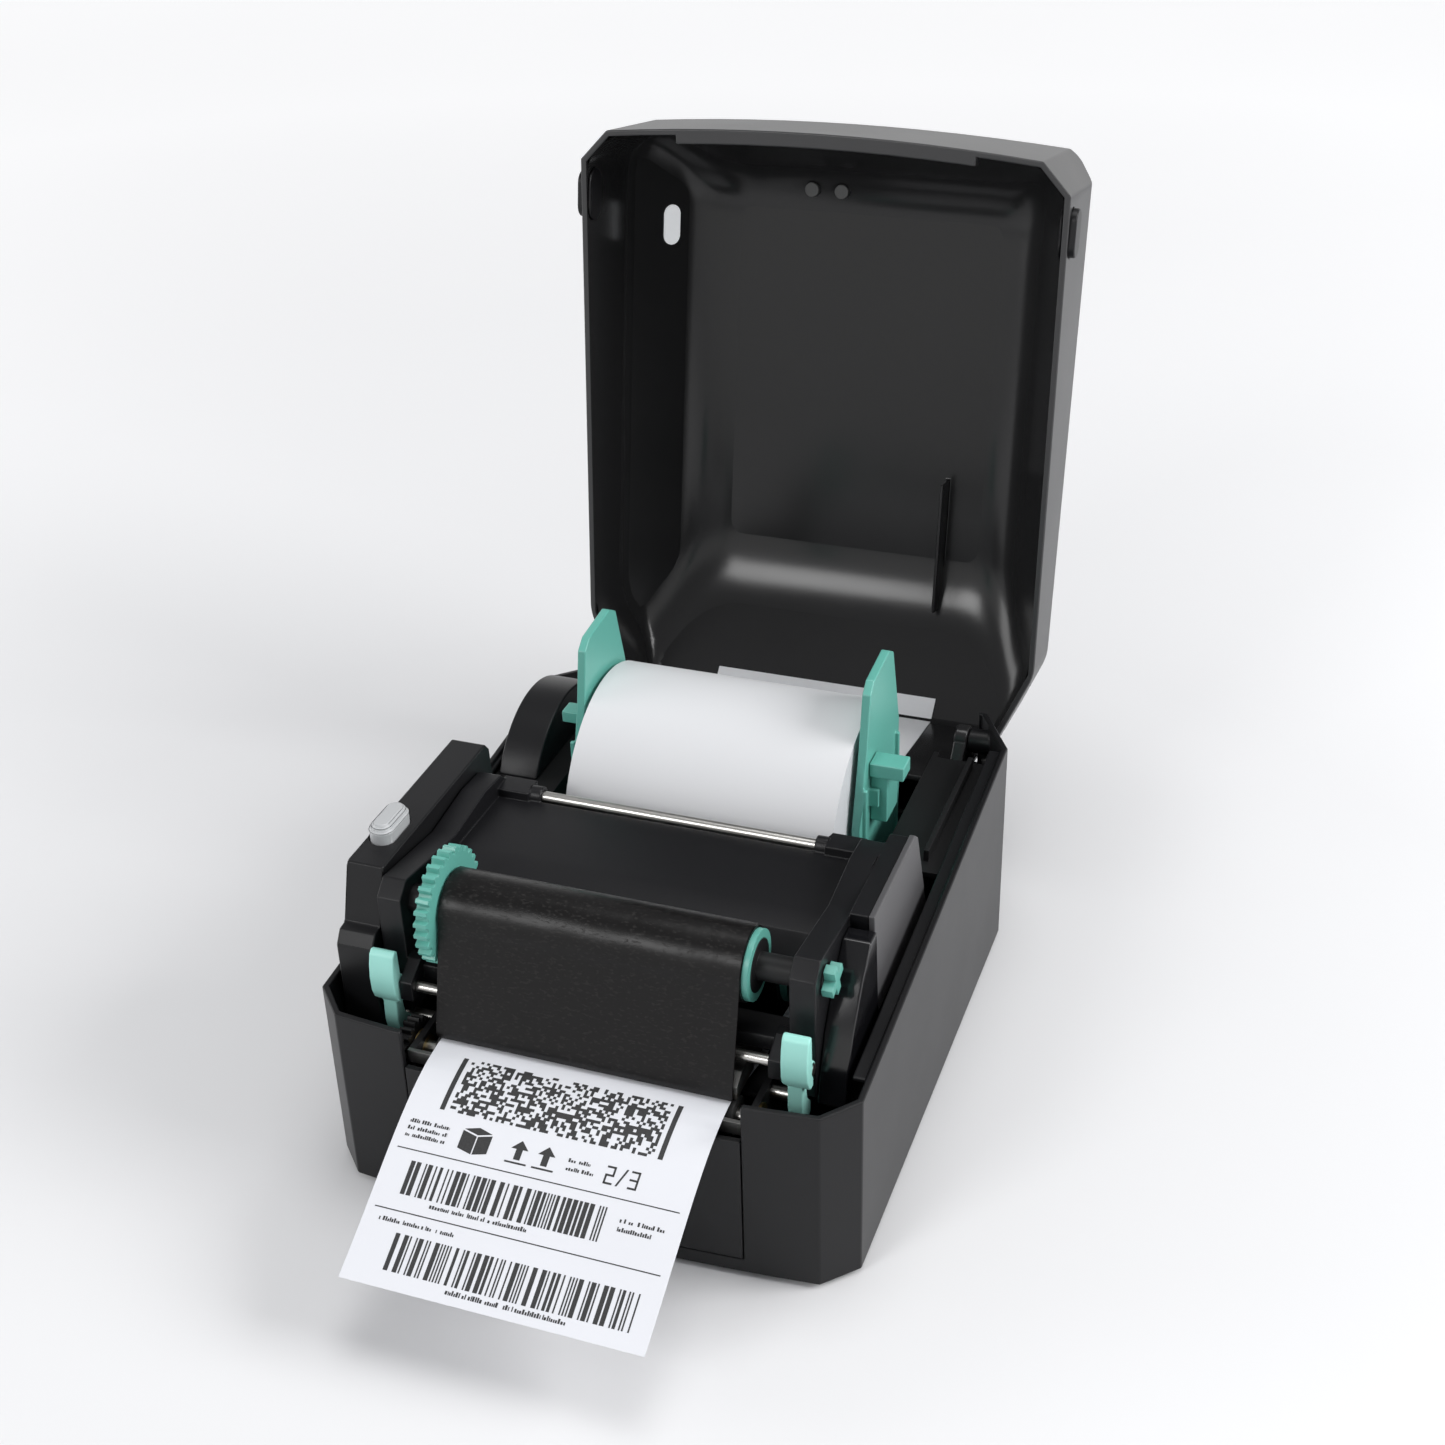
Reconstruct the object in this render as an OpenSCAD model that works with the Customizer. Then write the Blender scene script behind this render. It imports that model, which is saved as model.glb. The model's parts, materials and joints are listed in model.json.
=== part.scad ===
// Desktop thermal-transfer label printer with its lid open and a label fed out.
// X runs to the printer's right, Y to its rear, Z up. The origin lies on the table,
// under the middle of the case between its front corner plane and its rear face.

/* [Case] */
// Width of the case
case_w = 204; // [196:1:216]
// Depth of the case from its front corners to its rear face
case_d = 262; // [256:1:272]
// Height of the closed printer above the table
case_h = 166; // [163:1:180]
// Wall of the case and lid mouldings
wall = 2.5; // [2:0.1:3]
// How far the front bulges forward at its middle
front_bow = 4.5; // [1:0.5:8]
// Width of the front corner chamfers
front_cham_x = 11.6; // [8:0.2:14]
// Depth of the front corner chamfers
front_cham_y = 12.2; // [8:0.2:14]
// Width of the rear corner chamfers
rear_cham_x = 18; // [14:1:20]
// Depth of the rear corner chamfers
rear_cham_y = 42; // [38:1:44]
// Height of the split line at the front corners
rim_front_z = 77.5; // [76:0.5:80]
// Rise of the split line towards the rear, in degrees
rim_slope = 4.5; // [4:0.25:5]
// Half width of the front panel
panel_half_w = 63; // [61:0.5:64]
// Height of the front panel's top edge
panel_top_z = 62; // [58:0.5:62]
// How far the feet stand below the case
foot_proud = 2; // [1:0.5:4]

/* [Lid] */
// How far the lid's front stands behind the front corner plane of the case
lid_setback = 6.5; // [5:0.5:8]
// Height at which the lid's walls turn into its sloping sides
lid_knee_z = 127; // [125:1:130]
// Half width of the lid's flat top
lid_top_half_w = 74; // [70:1:80]
// Distance of the flat top's rear end from the rear face
lid_top_rear_inset = 49; // [43:1:55]
// Distance of the flat top's front end from the front corner plane
lid_top_front_inset = 29; // [25:1:35]
// Height of the bottom edge of the lid's rear flap
flap_z = 62; // [61:0.5:66]
// Half width of the rear flap
flap_half_w = 80; // [78:0.5:80.5]
// Angle to which the lid opens, in degrees
lid_open = 100; // [0:1:100]
// Distance of the hinge pin from the rear face
hinge_inset = 15.5; // [14:0.5:17]
// Height of the hinge pin
hinge_z = 79.5; // [79:0.5:81]
// Radius of the hinge pins
hinge_pin_r = 2.5; // [2:0.1:3]

/* [Label path] */
// Width of the label web
label_w = 110; // [100:1:112]
// Thickness of the label web
label_t = 0.3; // [0.2:0.05:0.4]
// Height of the web's underside over the platen
label_z = 66; // [65:0.5:67]
// Radius of the label roll
roll_r = 50; // [42:1:51]
// Radius of the hole in the roll's core
core_bore_r = 12.7; // [12:0.1:14]
// Wall of the roll's core
core_wall = 3; // [2:0.5:4]
// Distance of the roll's axis from the front corner plane
roll_inset = 175; // [174:0.5:177]
// Height of the roll's axis
roll_z = 77.5; // [77:0.5:80]
// Radius of the platen roller
platen_r = 7; // [6:0.5:8]
// Distance of the platen from the front corner plane
platen_inset = 14; // [13:0.5:16]
// Radius of the platen shaft
platen_shaft_r = 3; // [2.5:0.25:3.5]

/* [Carriage] */
// Distance of the carriage pivot from the front corner plane
pivot_inset = 126; // [124:0.5:127]
// Height of the carriage pivot
pivot_z = 82; // [80:0.5:84]
// Radius of the carriage pivot pins
pivot_r = 3; // [2.5:0.25:3.5]
// Outer face of the carriage's side plates from the middle
plate_outer_x = 81.7; // [80:0.1:82]
// Thickness of the carriage's side plates
plate_t = 9.5; // [8:0.5:10]
// Width of the ribbon
ribbon_w = 112; // [104:1:114]
// Thickness of the ribbon web
ribbon_t = 0.2; // [0.15:0.05:0.3]
// Radius of the ribbon wound on the rewind spindle
rewind_r = 13.5; // [12:0.5:15]
// Distance of the rewind spindle from the front corner plane
rewind_inset = 34.5; // [33:0.5:36]
// Height of the rewind spindle
rewind_z = 109; // [107:0.5:111]
// Radius of the ribbon on the supply spindle
supply_r = 20; // [12:0.5:21]
// Distance of the supply spindle from the front corner plane
supply_inset = 79; // [77:0.5:81]
// Height of the supply spindle
supply_z = 82; // [80:0.5:84]
// Radius of the ribbon spindles
spindle_r = 5; // [4:0.5:6]
// Radius of the ribbon guide rod
rod_r = 2.3; // [2:0.1:2.6]

/* [Levers and guides] */
// Radius of the release levers' shaft
lever_shaft_r = 2; // [1.5:0.25:2.5]
// Distance of the lever shaft from the front corner plane
lever_inset = 20.5; // [20:0.5:22]
// Height of the lever shaft
lever_z = 80.5; // [79:0.5:82]
// Inner face of the roll holders from the middle
holder_x = 57; // [56.5:0.5:58]
// Thickness of the roll holders
holder_t = 3.5; // [3:0.25:4]

/* [Hidden] */
$fn = 48;
fit = 0.05;
gap = 0.3;

// Colours
case_black = [0.13, 0.13, 0.14];
cover_grey = [0.40, 0.40, 0.41];
frame_black = [0.09, 0.09, 0.10];
teal = [0.42, 0.80, 0.69];
steel = [0.72, 0.72, 0.70];
paper = [0.90, 0.91, 0.94];
rubber = [0.08, 0.08, 0.08];
board_green = [0.10, 0.32, 0.18];
film_black = [0.10, 0.10, 0.10];

// Places worked out from the sizes
front_y = -case_d / 2;
rear_y = case_d / 2;
half_w = case_w / 2;
floor_z = foot_proud + wall;
side_end_y = rear_y - rear_cham_y;
hinge_y = rear_y - hinge_inset;
platen_y = front_y + platen_inset;
platen_z = label_z - gap - platen_r;
roll_y = front_y + roll_inset;
pivot_y = front_y + pivot_inset;
rewind_y = front_y + rewind_inset;
supply_y = front_y + supply_inset;
lever_y = front_y + lever_inset;
lid_top_rear_y = rear_y - lid_top_rear_inset;
lid_top_front_y = front_y + lid_top_front_inset;
// The label path slopes down from the platen to meet the roll's underside
path_reach = [roll_y - platen_y, roll_z - label_z];
path_slope = asin((roll_r + 0.1) / norm(path_reach)) - atan2(path_reach[1], path_reach[0]);
ramp_drop = 4;
head_z = label_z + label_t + ribbon_t + 3 * gap - 0.3;
ribbon_z = label_z + label_t + gap;
plate_inner_x = plate_outer_x - plate_t;
holder_out_x = holder_x + holder_t;
chassis_x = label_w / 2 + 7;
chassis_t = 2.4;
chassis_out_x = chassis_x + chassis_t;
gear_x = -chassis_out_x - 6;
gear_t = 4.6;
tray_half_w = holder_out_x + 9.5;
tray_t = 2.2;
deck_z = 84.5;
bay_front_y = front_y + 139;
bay_rear_y = roll_y + roll_r + 2;
bay_floor_z = roll_z - roll_r - 2.5;
lid_gap = 0.4;
flap_clear = 2.5;
tower_out_x = -(half_w - 4.8);
tower_in_x = -(plate_outer_x + 0.9);
tower_wall = 1.4;
tower_front_y = front_y + 18;
tower_rear_y = front_y + 122;
tower_top_z = 121;
button_x = tower_out_x + 5.8;
button_y = front_y + 55;
button_travel = 1.2;
window_y = front_y + 52;
latch_y = front_y + 33.5;

// Height of the rim of the case at y
function rim(y) = rim_front_z + tan(rim_slope) * (y - front_y);

// Height of the label path's underside behind the platen at y
function path_z(y) = label_z - tan(path_slope) * (y - platen_y);

// Outline of the case in plan, inset by t, with its front corners at y = front
function corner_y(cx, cy, t) = cy + t * (norm([cx, cy]) - cy) / cx;
function corner_x(cx, cy, t) = half_w - cx + t * (cx - norm([cx, cy])) / cy;
function bow_radius() = (pow(half_w - front_cham_x, 2) + pow(front_bow, 2)) / (2 * front_bow);
function bow_y(x, t, front) = front - front_bow + bow_radius() - sqrt(pow(bow_radius() - t, 2) - x * x);
function plan_points(t, front) = let(
        steps = 12,
        w = half_w - t,
        fx = corner_x(front_cham_x, front_cham_y, t),
        fy = front + corner_y(front_cham_x, front_cham_y, t),
        rx = corner_x(rear_cham_x, rear_cham_y, t),
        ry = rear_y - corner_y(rear_cham_x, rear_cham_y, t))
    concat([[w, fy]],
           [for (i = [0:steps]) let(x = fx - 2 * fx * i / steps) [x, bow_y(x, t, front)]],
           [[-w, fy], [-w, ry], [-rx, rear_y - t], [rx, rear_y - t], [w, ry]]);

// A strip of thickness t to the left of a path of points
function path_dir(p, i) = let(a = p[max(i - 1, 0)], b = p[min(i + 1, len(p) - 1)]) (b - a) / norm(b - a);
function strip_points(p, t) = concat(p,
    [for (i = [len(p) - 1:-1:0]) let(d = path_dir(p, i)) p[i] + t * [-d[1], d[0]]]);

// A cubic curve through its four control points
function curve(a, b, c, d, steps) = [for (i = [0:steps]) let(s = i / steps, r = 1 - s)
    r * r * r * a + 3 * r * r * s * b + 3 * r * s * s * c + s * s * s * d];

// Involute gear outlines: pitch radius is teeth * module_mm / 2
module_mm = 1;
pressure = 20;
backlash = 0.9;
function involute(a) = tan(a) * 180 / PI - a;
function tooth_half(n, r) = let(base = n * module_mm / 2 * cos(pressure))
    90 / n - backlash * 57.3 / (4 * n) / (module_mm / 2) * 0.2 + involute(pressure) - involute(acos(base / r));
function gear_points(n) = let(
        pitch = n * module_mm / 2,
        low = max(pitch * cos(pressure) * 1.001, pitch - 1.15 * module_mm),
        root = pitch - 1.2 * module_mm,
        tip = pitch + 0.85 * module_mm,
        flank = [for (k = [0:3]) low + (tip - low) * k / 3])
    [for (i = [0:n - 1]) let(c = 360 * i / n)
        each concat([root * [cos(c - tooth_half(n, low)), sin(c - tooth_half(n, low))]],
                    [for (r = flank) r * [cos(c - tooth_half(n, r)), sin(c - tooth_half(n, r))]],
                    [for (k = [3:-1:0]) flank[k] * [cos(c + tooth_half(n, flank[k])), sin(c + tooth_half(n, flank[k]))]],
                    [root * [cos(c + tooth_half(n, low)), sin(c + tooth_half(n, low))]])];

platen_teeth = 20;
idler_teeth = 36;
pinion_teeth = 10;
idler_angle = -50;
motor_angle = -35;
idler_reach = (platen_teeth + idler_teeth) * module_mm / 2;
motor_reach = (idler_teeth + pinion_teeth) * module_mm / 2;
idler_y = platen_y + idler_reach * cos(idler_angle);
idler_z = platen_z + idler_reach * sin(idler_angle);
motor_y = idler_y + motor_reach * cos(motor_angle);
motor_z = idler_z + motor_reach * sin(motor_angle);
idler_turn = idler_angle + 180 + 180 / idler_teeth;
pinion_turn = motor_angle + 180 + 180 / pinion_teeth
    - (idler_turn - motor_angle) * idler_teeth / pinion_teeth;

// A profile of points [y, z] extruded along X from x0 to x1
module along_x(x0, x1) translate([x0, 0, 0]) rotate([90, 0, 90]) linear_extrude(x1 - x0) children();

// A rod along X
module rod_x(x0, x1, y, z, r) translate([x0, y, z]) rotate([0, 90, 0]) cylinder(h = x1 - x0, r = r);

// A box between two corners
module box(a, b) translate(a) cube(b - a);

// The same piece on both sides
module both_sides() {
    children();
    mirror([1, 0, 0]) children();
}

// Everything above the sloping rim of the case, raised by lift
module above_rim(lift) translate([0, front_y, rim_front_z + lift]) rotate([rim_slope, 0, 0])
    translate([-case_w, -case_d, 0]) cube([2 * case_w, 3 * case_d, 2 * case_h]);

// ---- Case ----

ledge_x = half_w - wall - 5;
rear_relief = 14;
rear_port_z = 11.1;
foot_r = 8;
foot_x = 76;
foot_front_y = front_y + 24;
foot_rear_y = rear_y - 20;
board_x0 = -76;
board_x1 = -6;
board_y0 = rear_y - 99;
board_y1 = rear_y - wall - 2;
board_z = 9.5;
board_t = 1.6;
switch_x = 52;
switch_z = 36;
switch_w = 19.4;
switch_h = 13.4;
dc_x = -58;
usb_x = -36;

module board_corners() for (x = [board_x0 + 5, board_x1 - 5], y = [board_y0 + 5, board_y1 - 16])
    translate([x, y, 0]) children();

module foot_places() for (x = [-foot_x, foot_x], y = [foot_front_y, foot_rear_y])
    translate([x, y, 0]) children();

module rim_ledge(x0, x1) intersection() {
    translate([0, front_y, rim_front_z - 3.5]) rotate([rim_slope, 0, 0])
        box([x0, front_cham_y + 12, 0], [x1, case_d, 2]);
    box([-half_w, front_y, 0], [half_w, side_end_y - 1, case_h]);
}

module lower_case() color(case_black) {
    difference() {
        union() {
            difference() {
                translate([0, 0, foot_proud]) linear_extrude(case_h) polygon(plan_points(0, front_y));
                translate([0, 0, floor_z]) linear_extrude(case_h) polygon(plan_points(wall, front_y));
                above_rim(0);
                translate([-case_w, side_end_y, rim(side_end_y)]) rotate([-rear_relief, 0, 0])
                    cube([2 * case_w, case_d, case_h]);
            }
            // Hinge bosses on the rear corner walls
            both_sides() intersection() {
                rod_x(flap_half_w + 0.1, half_w, hinge_y, hinge_z, hinge_pin_r + 2.8);
                translate([0, 0, foot_proud]) linear_extrude(case_h) polygon(plan_points(wall / 2, front_y));
            }
            // Ledges inside the rim
            rim_ledge(ledge_x, half_w - wall + 0.5);
            rim_ledge(-half_w + wall - 0.5, -half_w + wall + 1.5);
            board_corners() translate([0, 0, floor_z - 0.5]) cylinder(h = board_z - floor_z + 0.5, r = 3.2);
        }
        // Opening for the lid's rear flap
        box([-flap_half_w - 0.6, rear_y - wall - 1, flap_z - flap_clear], [flap_half_w + 0.6, rear_y + 1, case_h]);
        // Window for the front panel
        box([-panel_half_w - gap, front_y - front_bow - 1, foot_proud + 6],
            [panel_half_w + gap, front_y + wall + 4, case_h]);
        both_sides() rod_x(flap_half_w, half_w - 14.8, hinge_y, hinge_z, hinge_pin_r + fit);
        board_corners() translate([0, 0, floor_z]) cylinder(h = case_h, r = 1.45);
        foot_places() translate([0, 0, foot_proud - 1]) cylinder(h = 2, r = foot_r + gap);
        // Sockets and switch in the rear wall
        box([dc_x - 5.3, rear_y - wall - 1, rear_port_z - gap], [dc_x + 5.3, rear_y + 1, rear_port_z + 11.3]);
        box([usb_x - 6.3, rear_y - wall - 1, rear_port_z - gap], [usb_x + 6.3, rear_y + 1, rear_port_z + 11.3]);
        box([switch_x - switch_w / 2 - gap, rear_y - wall - 1, switch_z - switch_h / 2 - gap],
            [switch_x + switch_w / 2 + gap, rear_y + 1, switch_z + switch_h / 2 + gap]);
        // Cooling slots in the floor
        for (i = [0:7]) box([10 + 8 * i, rear_y - 81, foot_proud - 1], [13 + 8 * i, rear_y - 41, floor_z + 1]);
    }
}

module front_panel() color(case_black) difference() {
    intersection() {
        translate([0, 0, foot_proud + 6 + gap])
            linear_extrude(panel_top_z - foot_proud - 6 - gap) polygon(plan_points(0, front_y));
        box([-panel_half_w, front_y - case_d, 0], [panel_half_w, front_y + wall + 1, case_h]);
    }
    linear_extrude(case_h) polygon(plan_points(wall, front_y));
    // A shallow finger scallop under the label exit
    translate([0, front_y - front_bow - 1, panel_top_z + 26]) rotate([-90, 0, 0]) cylinder(h = 1.8, r = 32);
}

module rubber_feet() color(rubber) foot_places() cylinder(h = foot_proud + 1, r = foot_r);

module case_screws() color(steel) board_corners() {
    translate([0, 0, floor_z]) cylinder(h = board_z - floor_z + board_t, r = 1.4);
    translate([0, 0, board_z + board_t]) cylinder(h = 1.8, r = 2.8);
}

// ---- Media tray and its neighbours ----

post_x1 = plate_inner_x - 2.2;
post_x0 = post_x1 - 7;

module tray_profile() polygon([
    [platen_y + 67, path_z(platen_y + 67) - ramp_drop], [bay_front_y, path_z(bay_front_y) - ramp_drop],
    [bay_front_y + 9, bay_floor_z], [bay_rear_y, bay_floor_z], [bay_rear_y, bay_floor_z + 25],
    [bay_rear_y + tray_t, bay_floor_z + 25], [bay_rear_y + tray_t, bay_floor_z - tray_t],
    [bay_front_y + 8, bay_floor_z - tray_t], [bay_front_y, path_z(bay_front_y) - ramp_drop - tray_t - 0.4],
    [platen_y + 67, path_z(platen_y + 67) - ramp_drop - tray_t]]);

module media_tray() color(frame_black) difference() {
    union() {
        along_x(-tray_half_w, tray_half_w) tray_profile();
        both_sides() {
            // Side wall of the media bay, its deck and the deck's outer skirt
            box([tray_half_w - 0.01, bay_front_y, bay_floor_z - tray_t],
                [tray_half_w + tray_t, bay_rear_y - 2, deck_z]);
            box([tray_half_w, bay_front_y, deck_z - tray_t], [half_w - wall - 0.8, side_end_y + 1, deck_z]);
            // Pivot post of the carriage
            box([post_x0, pivot_y - 7, path_z(pivot_y) - ramp_drop - 1], [post_x1, pivot_y + 8, pivot_z]);
            rod_x(post_x0, post_x1, pivot_y + 0.5, pivot_z, 7.5);
            // Legs that stand on the floor of the case
            for (y = [bay_front_y + 6, side_end_y - 6]) translate([half_w - 16, y, floor_z])
                cylinder(h = deck_z - floor_z - 1, r = 4);
        }
        for (x = [12, 60], y = [roll_y - 16, roll_y + 48]) translate([x, y, floor_z]) cylinder(h = bay_floor_z - floor_z - 1, r = 4);
        for (x = [-60, 60]) translate([x, pivot_y - 14, floor_z])
            cylinder(h = path_z(pivot_y - 14) - ramp_drop - floor_z - 1, r = 4);
        // Rail along the right deck
        box([half_w - 15.5, bay_front_y + 7, deck_z - 0.5], [half_w - 13.5, side_end_y - 3, deck_z + 5]);
    }
    both_sides() rod_x(post_x0 - 1, plate_outer_x, pivot_y, pivot_z, pivot_r + fit);
    // Runner slot for the roll holders
    box([-tray_half_w + 0.2, roll_y - 4, bay_floor_z - 1], [tray_half_w - 0.2, roll_y + 4, bay_floor_z + 1]);
}

module pivot_pins() color(steel) both_sides() {
    rod_x(post_x0, plate_outer_x - 1.5, pivot_y, pivot_z, pivot_r);
    rod_x(post_x0 - 1.5, post_x0 - 0.1, pivot_y, pivot_z, pivot_r + 1.5);
}

module cheek_arc(inset) intersection() {
    rod_x(tower_out_x + inset, -half_w + 22 - inset, roll_y + 16, 64, 42 - inset);
    box([-half_w, roll_y - 26 + inset, deck_z - inset], [0, side_end_y - inset, case_h]);
}

module side_cheek() color(case_black) difference() {
    cheek_arc(0);
    cheek_arc(2);
}

module tower_profile(t, low) polygon([
    [tower_front_y + t, low], [tower_front_y + t, 94 - t * 0.5], [tower_front_y + 3.5 + t * 0.6, 99 - t],
    [tower_front_y + 7.5 + t, 99.5 - t], [tower_front_y + 14.5 + t * 0.8, tower_top_z - t],
    [tower_rear_y - 4 - t, tower_top_z + 1.5 - t], [tower_rear_y - 1 - t, tower_top_z - 2 - t],
    [tower_rear_y - t, 104 - t], [tower_rear_y - t, low]]);

module button_outline(grow) {
    for (s = [-1, 1]) translate([button_x, button_y + s * 5.2]) circle(r = 4.8 + grow);
    translate([button_x - 4.8 - grow, button_y - 5.2]) square([9.6 + 2 * grow, 10.4]);
}

module control_tower() color(case_black) difference() {
    along_x(tower_out_x, tower_in_x) tower_profile(0, floor_z);
    difference() {
        along_x(tower_out_x + tower_wall, tower_in_x - tower_wall) tower_profile(tower_wall, floor_z - 1);
        // Ribs that carry the button's circuit board
        for (x = [tower_out_x + tower_wall - 0.1, tower_in_x - tower_wall - 1.1])
            box([x, button_y - 18, 105], [x + 1.2, button_y + 18, 108]);
    }
    translate([0, 0, 110]) linear_extrude(30) button_outline(gap);
}

module button_switch() color(board_green) {
    box([tower_out_x + tower_wall + gap, button_y - 16, 108], [tower_in_x - tower_wall - gap, button_y + 16, 109.6]);
    box([button_x - 3, button_y - 3, 109.6], [button_x + 3, button_y + 3, 113.5]);
    translate([button_x, button_y, 113.5]) cylinder(h = 1.4, r = 1.7);
}

module feed_button() color([0.75, 0.77, 0.78]) {
    // Stops under the tower's top, at both ends of the button
    for (s = [-1, 1]) translate([button_x, button_y + s * 6.8, 116.6]) cylinder(h = 1.4, r = 4.4);
    translate([0, 0, 117.5]) linear_extrude(8) button_outline(0);
    translate([0, 0, 125.5]) linear_extrude(1.6) button_outline(-0.7);
    translate([0, 0, 127]) linear_extrude(1.3) button_outline(-1.7);
}

// ---- Electronics ----

module main_board() {
    color(board_green) difference() {
        box([board_x0, board_y0, board_z], [board_x1, board_y1, board_z + board_t]);
        board_corners() translate([0, 0, 0]) cylinder(h = 30, r = 1.6);
    }
    color(frame_black) for (p = [[16, 28, 14, 14, 2], [40, 34, 10, 18, 2], [18, 52, 8, 12, 4], [54, 18, 12, 8, 6]])
        translate([board_x0 + p[0], board_y0 + p[1], board_z + board_t]) cube([p[2], p[3], p[4]]);
    color(steel) for (x = [32, 46]) translate([board_x0 + x, board_y0 + 62, board_z + board_t]) cylinder(h = 8, r = 4);
}

module dc_inlet() color(frame_black) difference() {
    box([dc_x - 5, rear_y - 14, rear_port_z], [dc_x + 5, rear_y - 0.4, rear_port_z + 11]);
    translate([dc_x, rear_y + 1, rear_port_z + 6]) rotate([90, 0, 0]) difference() {
        cylinder(h = 12, r = 3.2);
        translate([0, 0, 7]) cylinder(h = 12, r = 1);
    }
}

module usb_port() color(steel) difference() {
    box([usb_x - 6, rear_y - 16, rear_port_z], [usb_x + 6, rear_y - 0.4, rear_port_z + 11]);
    difference() {
        box([usb_x - 5, rear_y - 11, rear_port_z + 1], [usb_x + 5, rear_y + 1, rear_port_z + 10]);
        box([usb_x - 2.8, rear_y - 12, rear_port_z + 4], [usb_x + 2.8, rear_y - 6, rear_port_z + 7]);
    }
}

rocker_y = rear_y - 3;
rocker_tilt = 9;

module power_switch_bezel() color(frame_black) difference() {
    union() {
        box([switch_x - switch_w / 2, rear_y - 13, switch_z - switch_h / 2],
            [switch_x + switch_w / 2, rear_y + 0.5, switch_z + switch_h / 2]);
        box([switch_x - switch_w / 2 - 1.5, rear_y + 0.01, switch_z - switch_h / 2 - 1.5],
            [switch_x + switch_w / 2 + 1.5, rear_y + 1.5, switch_z + switch_h / 2 + 1.5]);
    }
    box([switch_x - switch_w / 2 + 1, rear_y - 9, switch_z - switch_h / 2 + 1],
        [switch_x + switch_w / 2 - 1, rear_y + 5, switch_z + switch_h / 2 - 1]);
    translate([switch_x, rocker_y, switch_z - switch_h / 2 - 1]) cylinder(h = switch_h + 2, r = 1 + fit);
}

module power_rocker() color(frame_black) translate([switch_x, rocker_y, switch_z]) rotate([0, 0, -rocker_tilt]) {
    translate([0, 0, -switch_h / 2 + 1.3]) linear_extrude(switch_h - 2.6)
        polygon([[-7.7, -1.5], [-7.7, 4.4], [0, 3.4], [7.7, 4.4], [7.7, -1.5], [0, -3]]);
    translate([0, 0, -switch_h / 2 + 0.3]) cylinder(h = switch_h - 0.6, r = 1);
}

// ---- Print chassis and its drive ----

chassis_rear_y = platen_y + 66;
sensor_y = platen_y + 31;
rail_z = path_z(sensor_y) - ramp_drop - 8;
stud_y = platen_y + 14;
stud_z = platen_z + 1.8;

module chassis_side_profile() polygon([
    [front_y + 5, floor_z], [front_y + 5, label_z - 0.6], [platen_y + 24, label_z - 0.6],
    [chassis_rear_y, path_z(chassis_rear_y) + 4], [chassis_rear_y, floor_z]]);

module print_chassis() color(frame_black) difference() {
    union() {
        both_sides() along_x(chassis_x, chassis_out_x) chassis_side_profile();
        box([-chassis_out_x, front_y + 5, floor_z], [chassis_out_x, chassis_rear_y, floor_z + 1.5]);
        along_x(-chassis_out_x, chassis_out_x) polygon([
            [platen_y + 12, path_z(platen_y + 12) - ramp_drop], [chassis_rear_y, path_z(chassis_rear_y) - ramp_drop],
            [chassis_rear_y, path_z(chassis_rear_y) - ramp_drop - 1.5],
            [platen_y + 12, path_z(platen_y + 12) - ramp_drop - 1.5]]);
    }
    rod_x(-half_w, half_w, platen_y, platen_z, 5 + fit);
    rod_x(-half_w, half_w, stud_y, stud_z, 1.5 + fit);
    rod_x(-half_w, half_w, sensor_y, rail_z, 1.5 + fit);
    rod_x(-half_w, 0, motor_y, motor_z, 6);
    rod_x(-half_w, 0, idler_y, idler_z, 1.5 + fit);
    // Slot that the media sensor looks through
    box([-44, sensor_y - 5, rail_z], [44, sensor_y + 5, label_z]);
}

// Studs of the release latches and of the idler gear
module chassis_studs() color(steel) {
    both_sides() {
        rod_x(chassis_out_x, plate_inner_x + 4.8, stud_y, stud_z, 2.5);
        rod_x(chassis_x, chassis_out_x + 0.5, stud_y, stud_z, 1.5);
    }
    rod_x(-chassis_out_x - 0.5, -chassis_x, idler_y, idler_z, 1.5);
    rod_x(gear_x - 0.3, -chassis_out_x, idler_y, idler_z, 3);
    rod_x(gear_x - 1.2, gear_x - 0.2, idler_y, idler_z, 4);
}

tear_out = 5.6;

module tear_bar() color(steel) {
    box([-chassis_out_x, front_y + 3.4, label_z - 6], [chassis_out_x + tear_out, front_y + 5, label_z - 0.8]);
    box([chassis_out_x + 0.6, front_y + 3.4, label_z - 1], [chassis_out_x + 2.6, front_y + 5, label_z + 5]);
}

module stepper_motor() {
    color(frame_black) box([-chassis_x + 0.1, motor_y - 17.5, motor_z - 17.5],
                           [-chassis_x + 26, motor_y + 17.5, motor_z + 17.5]);
    color(steel) {
        rod_x(-chassis_out_x, -chassis_x + 0.2, motor_y, motor_z, 5.8);
        rod_x(gear_x - 0.5, -chassis_out_x + 0.1, motor_y, motor_z, 1.25);
    }
}

module train_gear(teeth, turn, y, z, bore) translate([gear_x, y, z]) rotate([90, 0, 90]) difference() {
    linear_extrude(gear_t) rotate(turn) polygon(gear_points(teeth));
    translate([0, 0, -1]) cylinder(h = gear_t + 2, r = bore);
}

module motor_pinion() color(frame_black) train_gear(pinion_teeth, pinion_turn, motor_y, motor_z, 1.25 + fit);

module idler_gear() color(frame_black) train_gear(idler_teeth, idler_turn, idler_y, idler_z, 3 + fit);

module platen_gear() color(frame_black)
    train_gear(platen_teeth, idler_angle, platen_y, platen_z, platen_shaft_r + fit);

module platen_bushes() color([0.80, 0.68, 0.40]) both_sides() difference() {
    union() {
        rod_x(chassis_x, chassis_out_x + 0.1, platen_y, platen_z, 5);
        rod_x(chassis_out_x, chassis_out_x + 0.9, platen_y, platen_z, 6.4);
    }
    rod_x(chassis_x - 1, chassis_out_x + 3, platen_y, platen_z, platen_shaft_r + fit);
}

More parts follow.
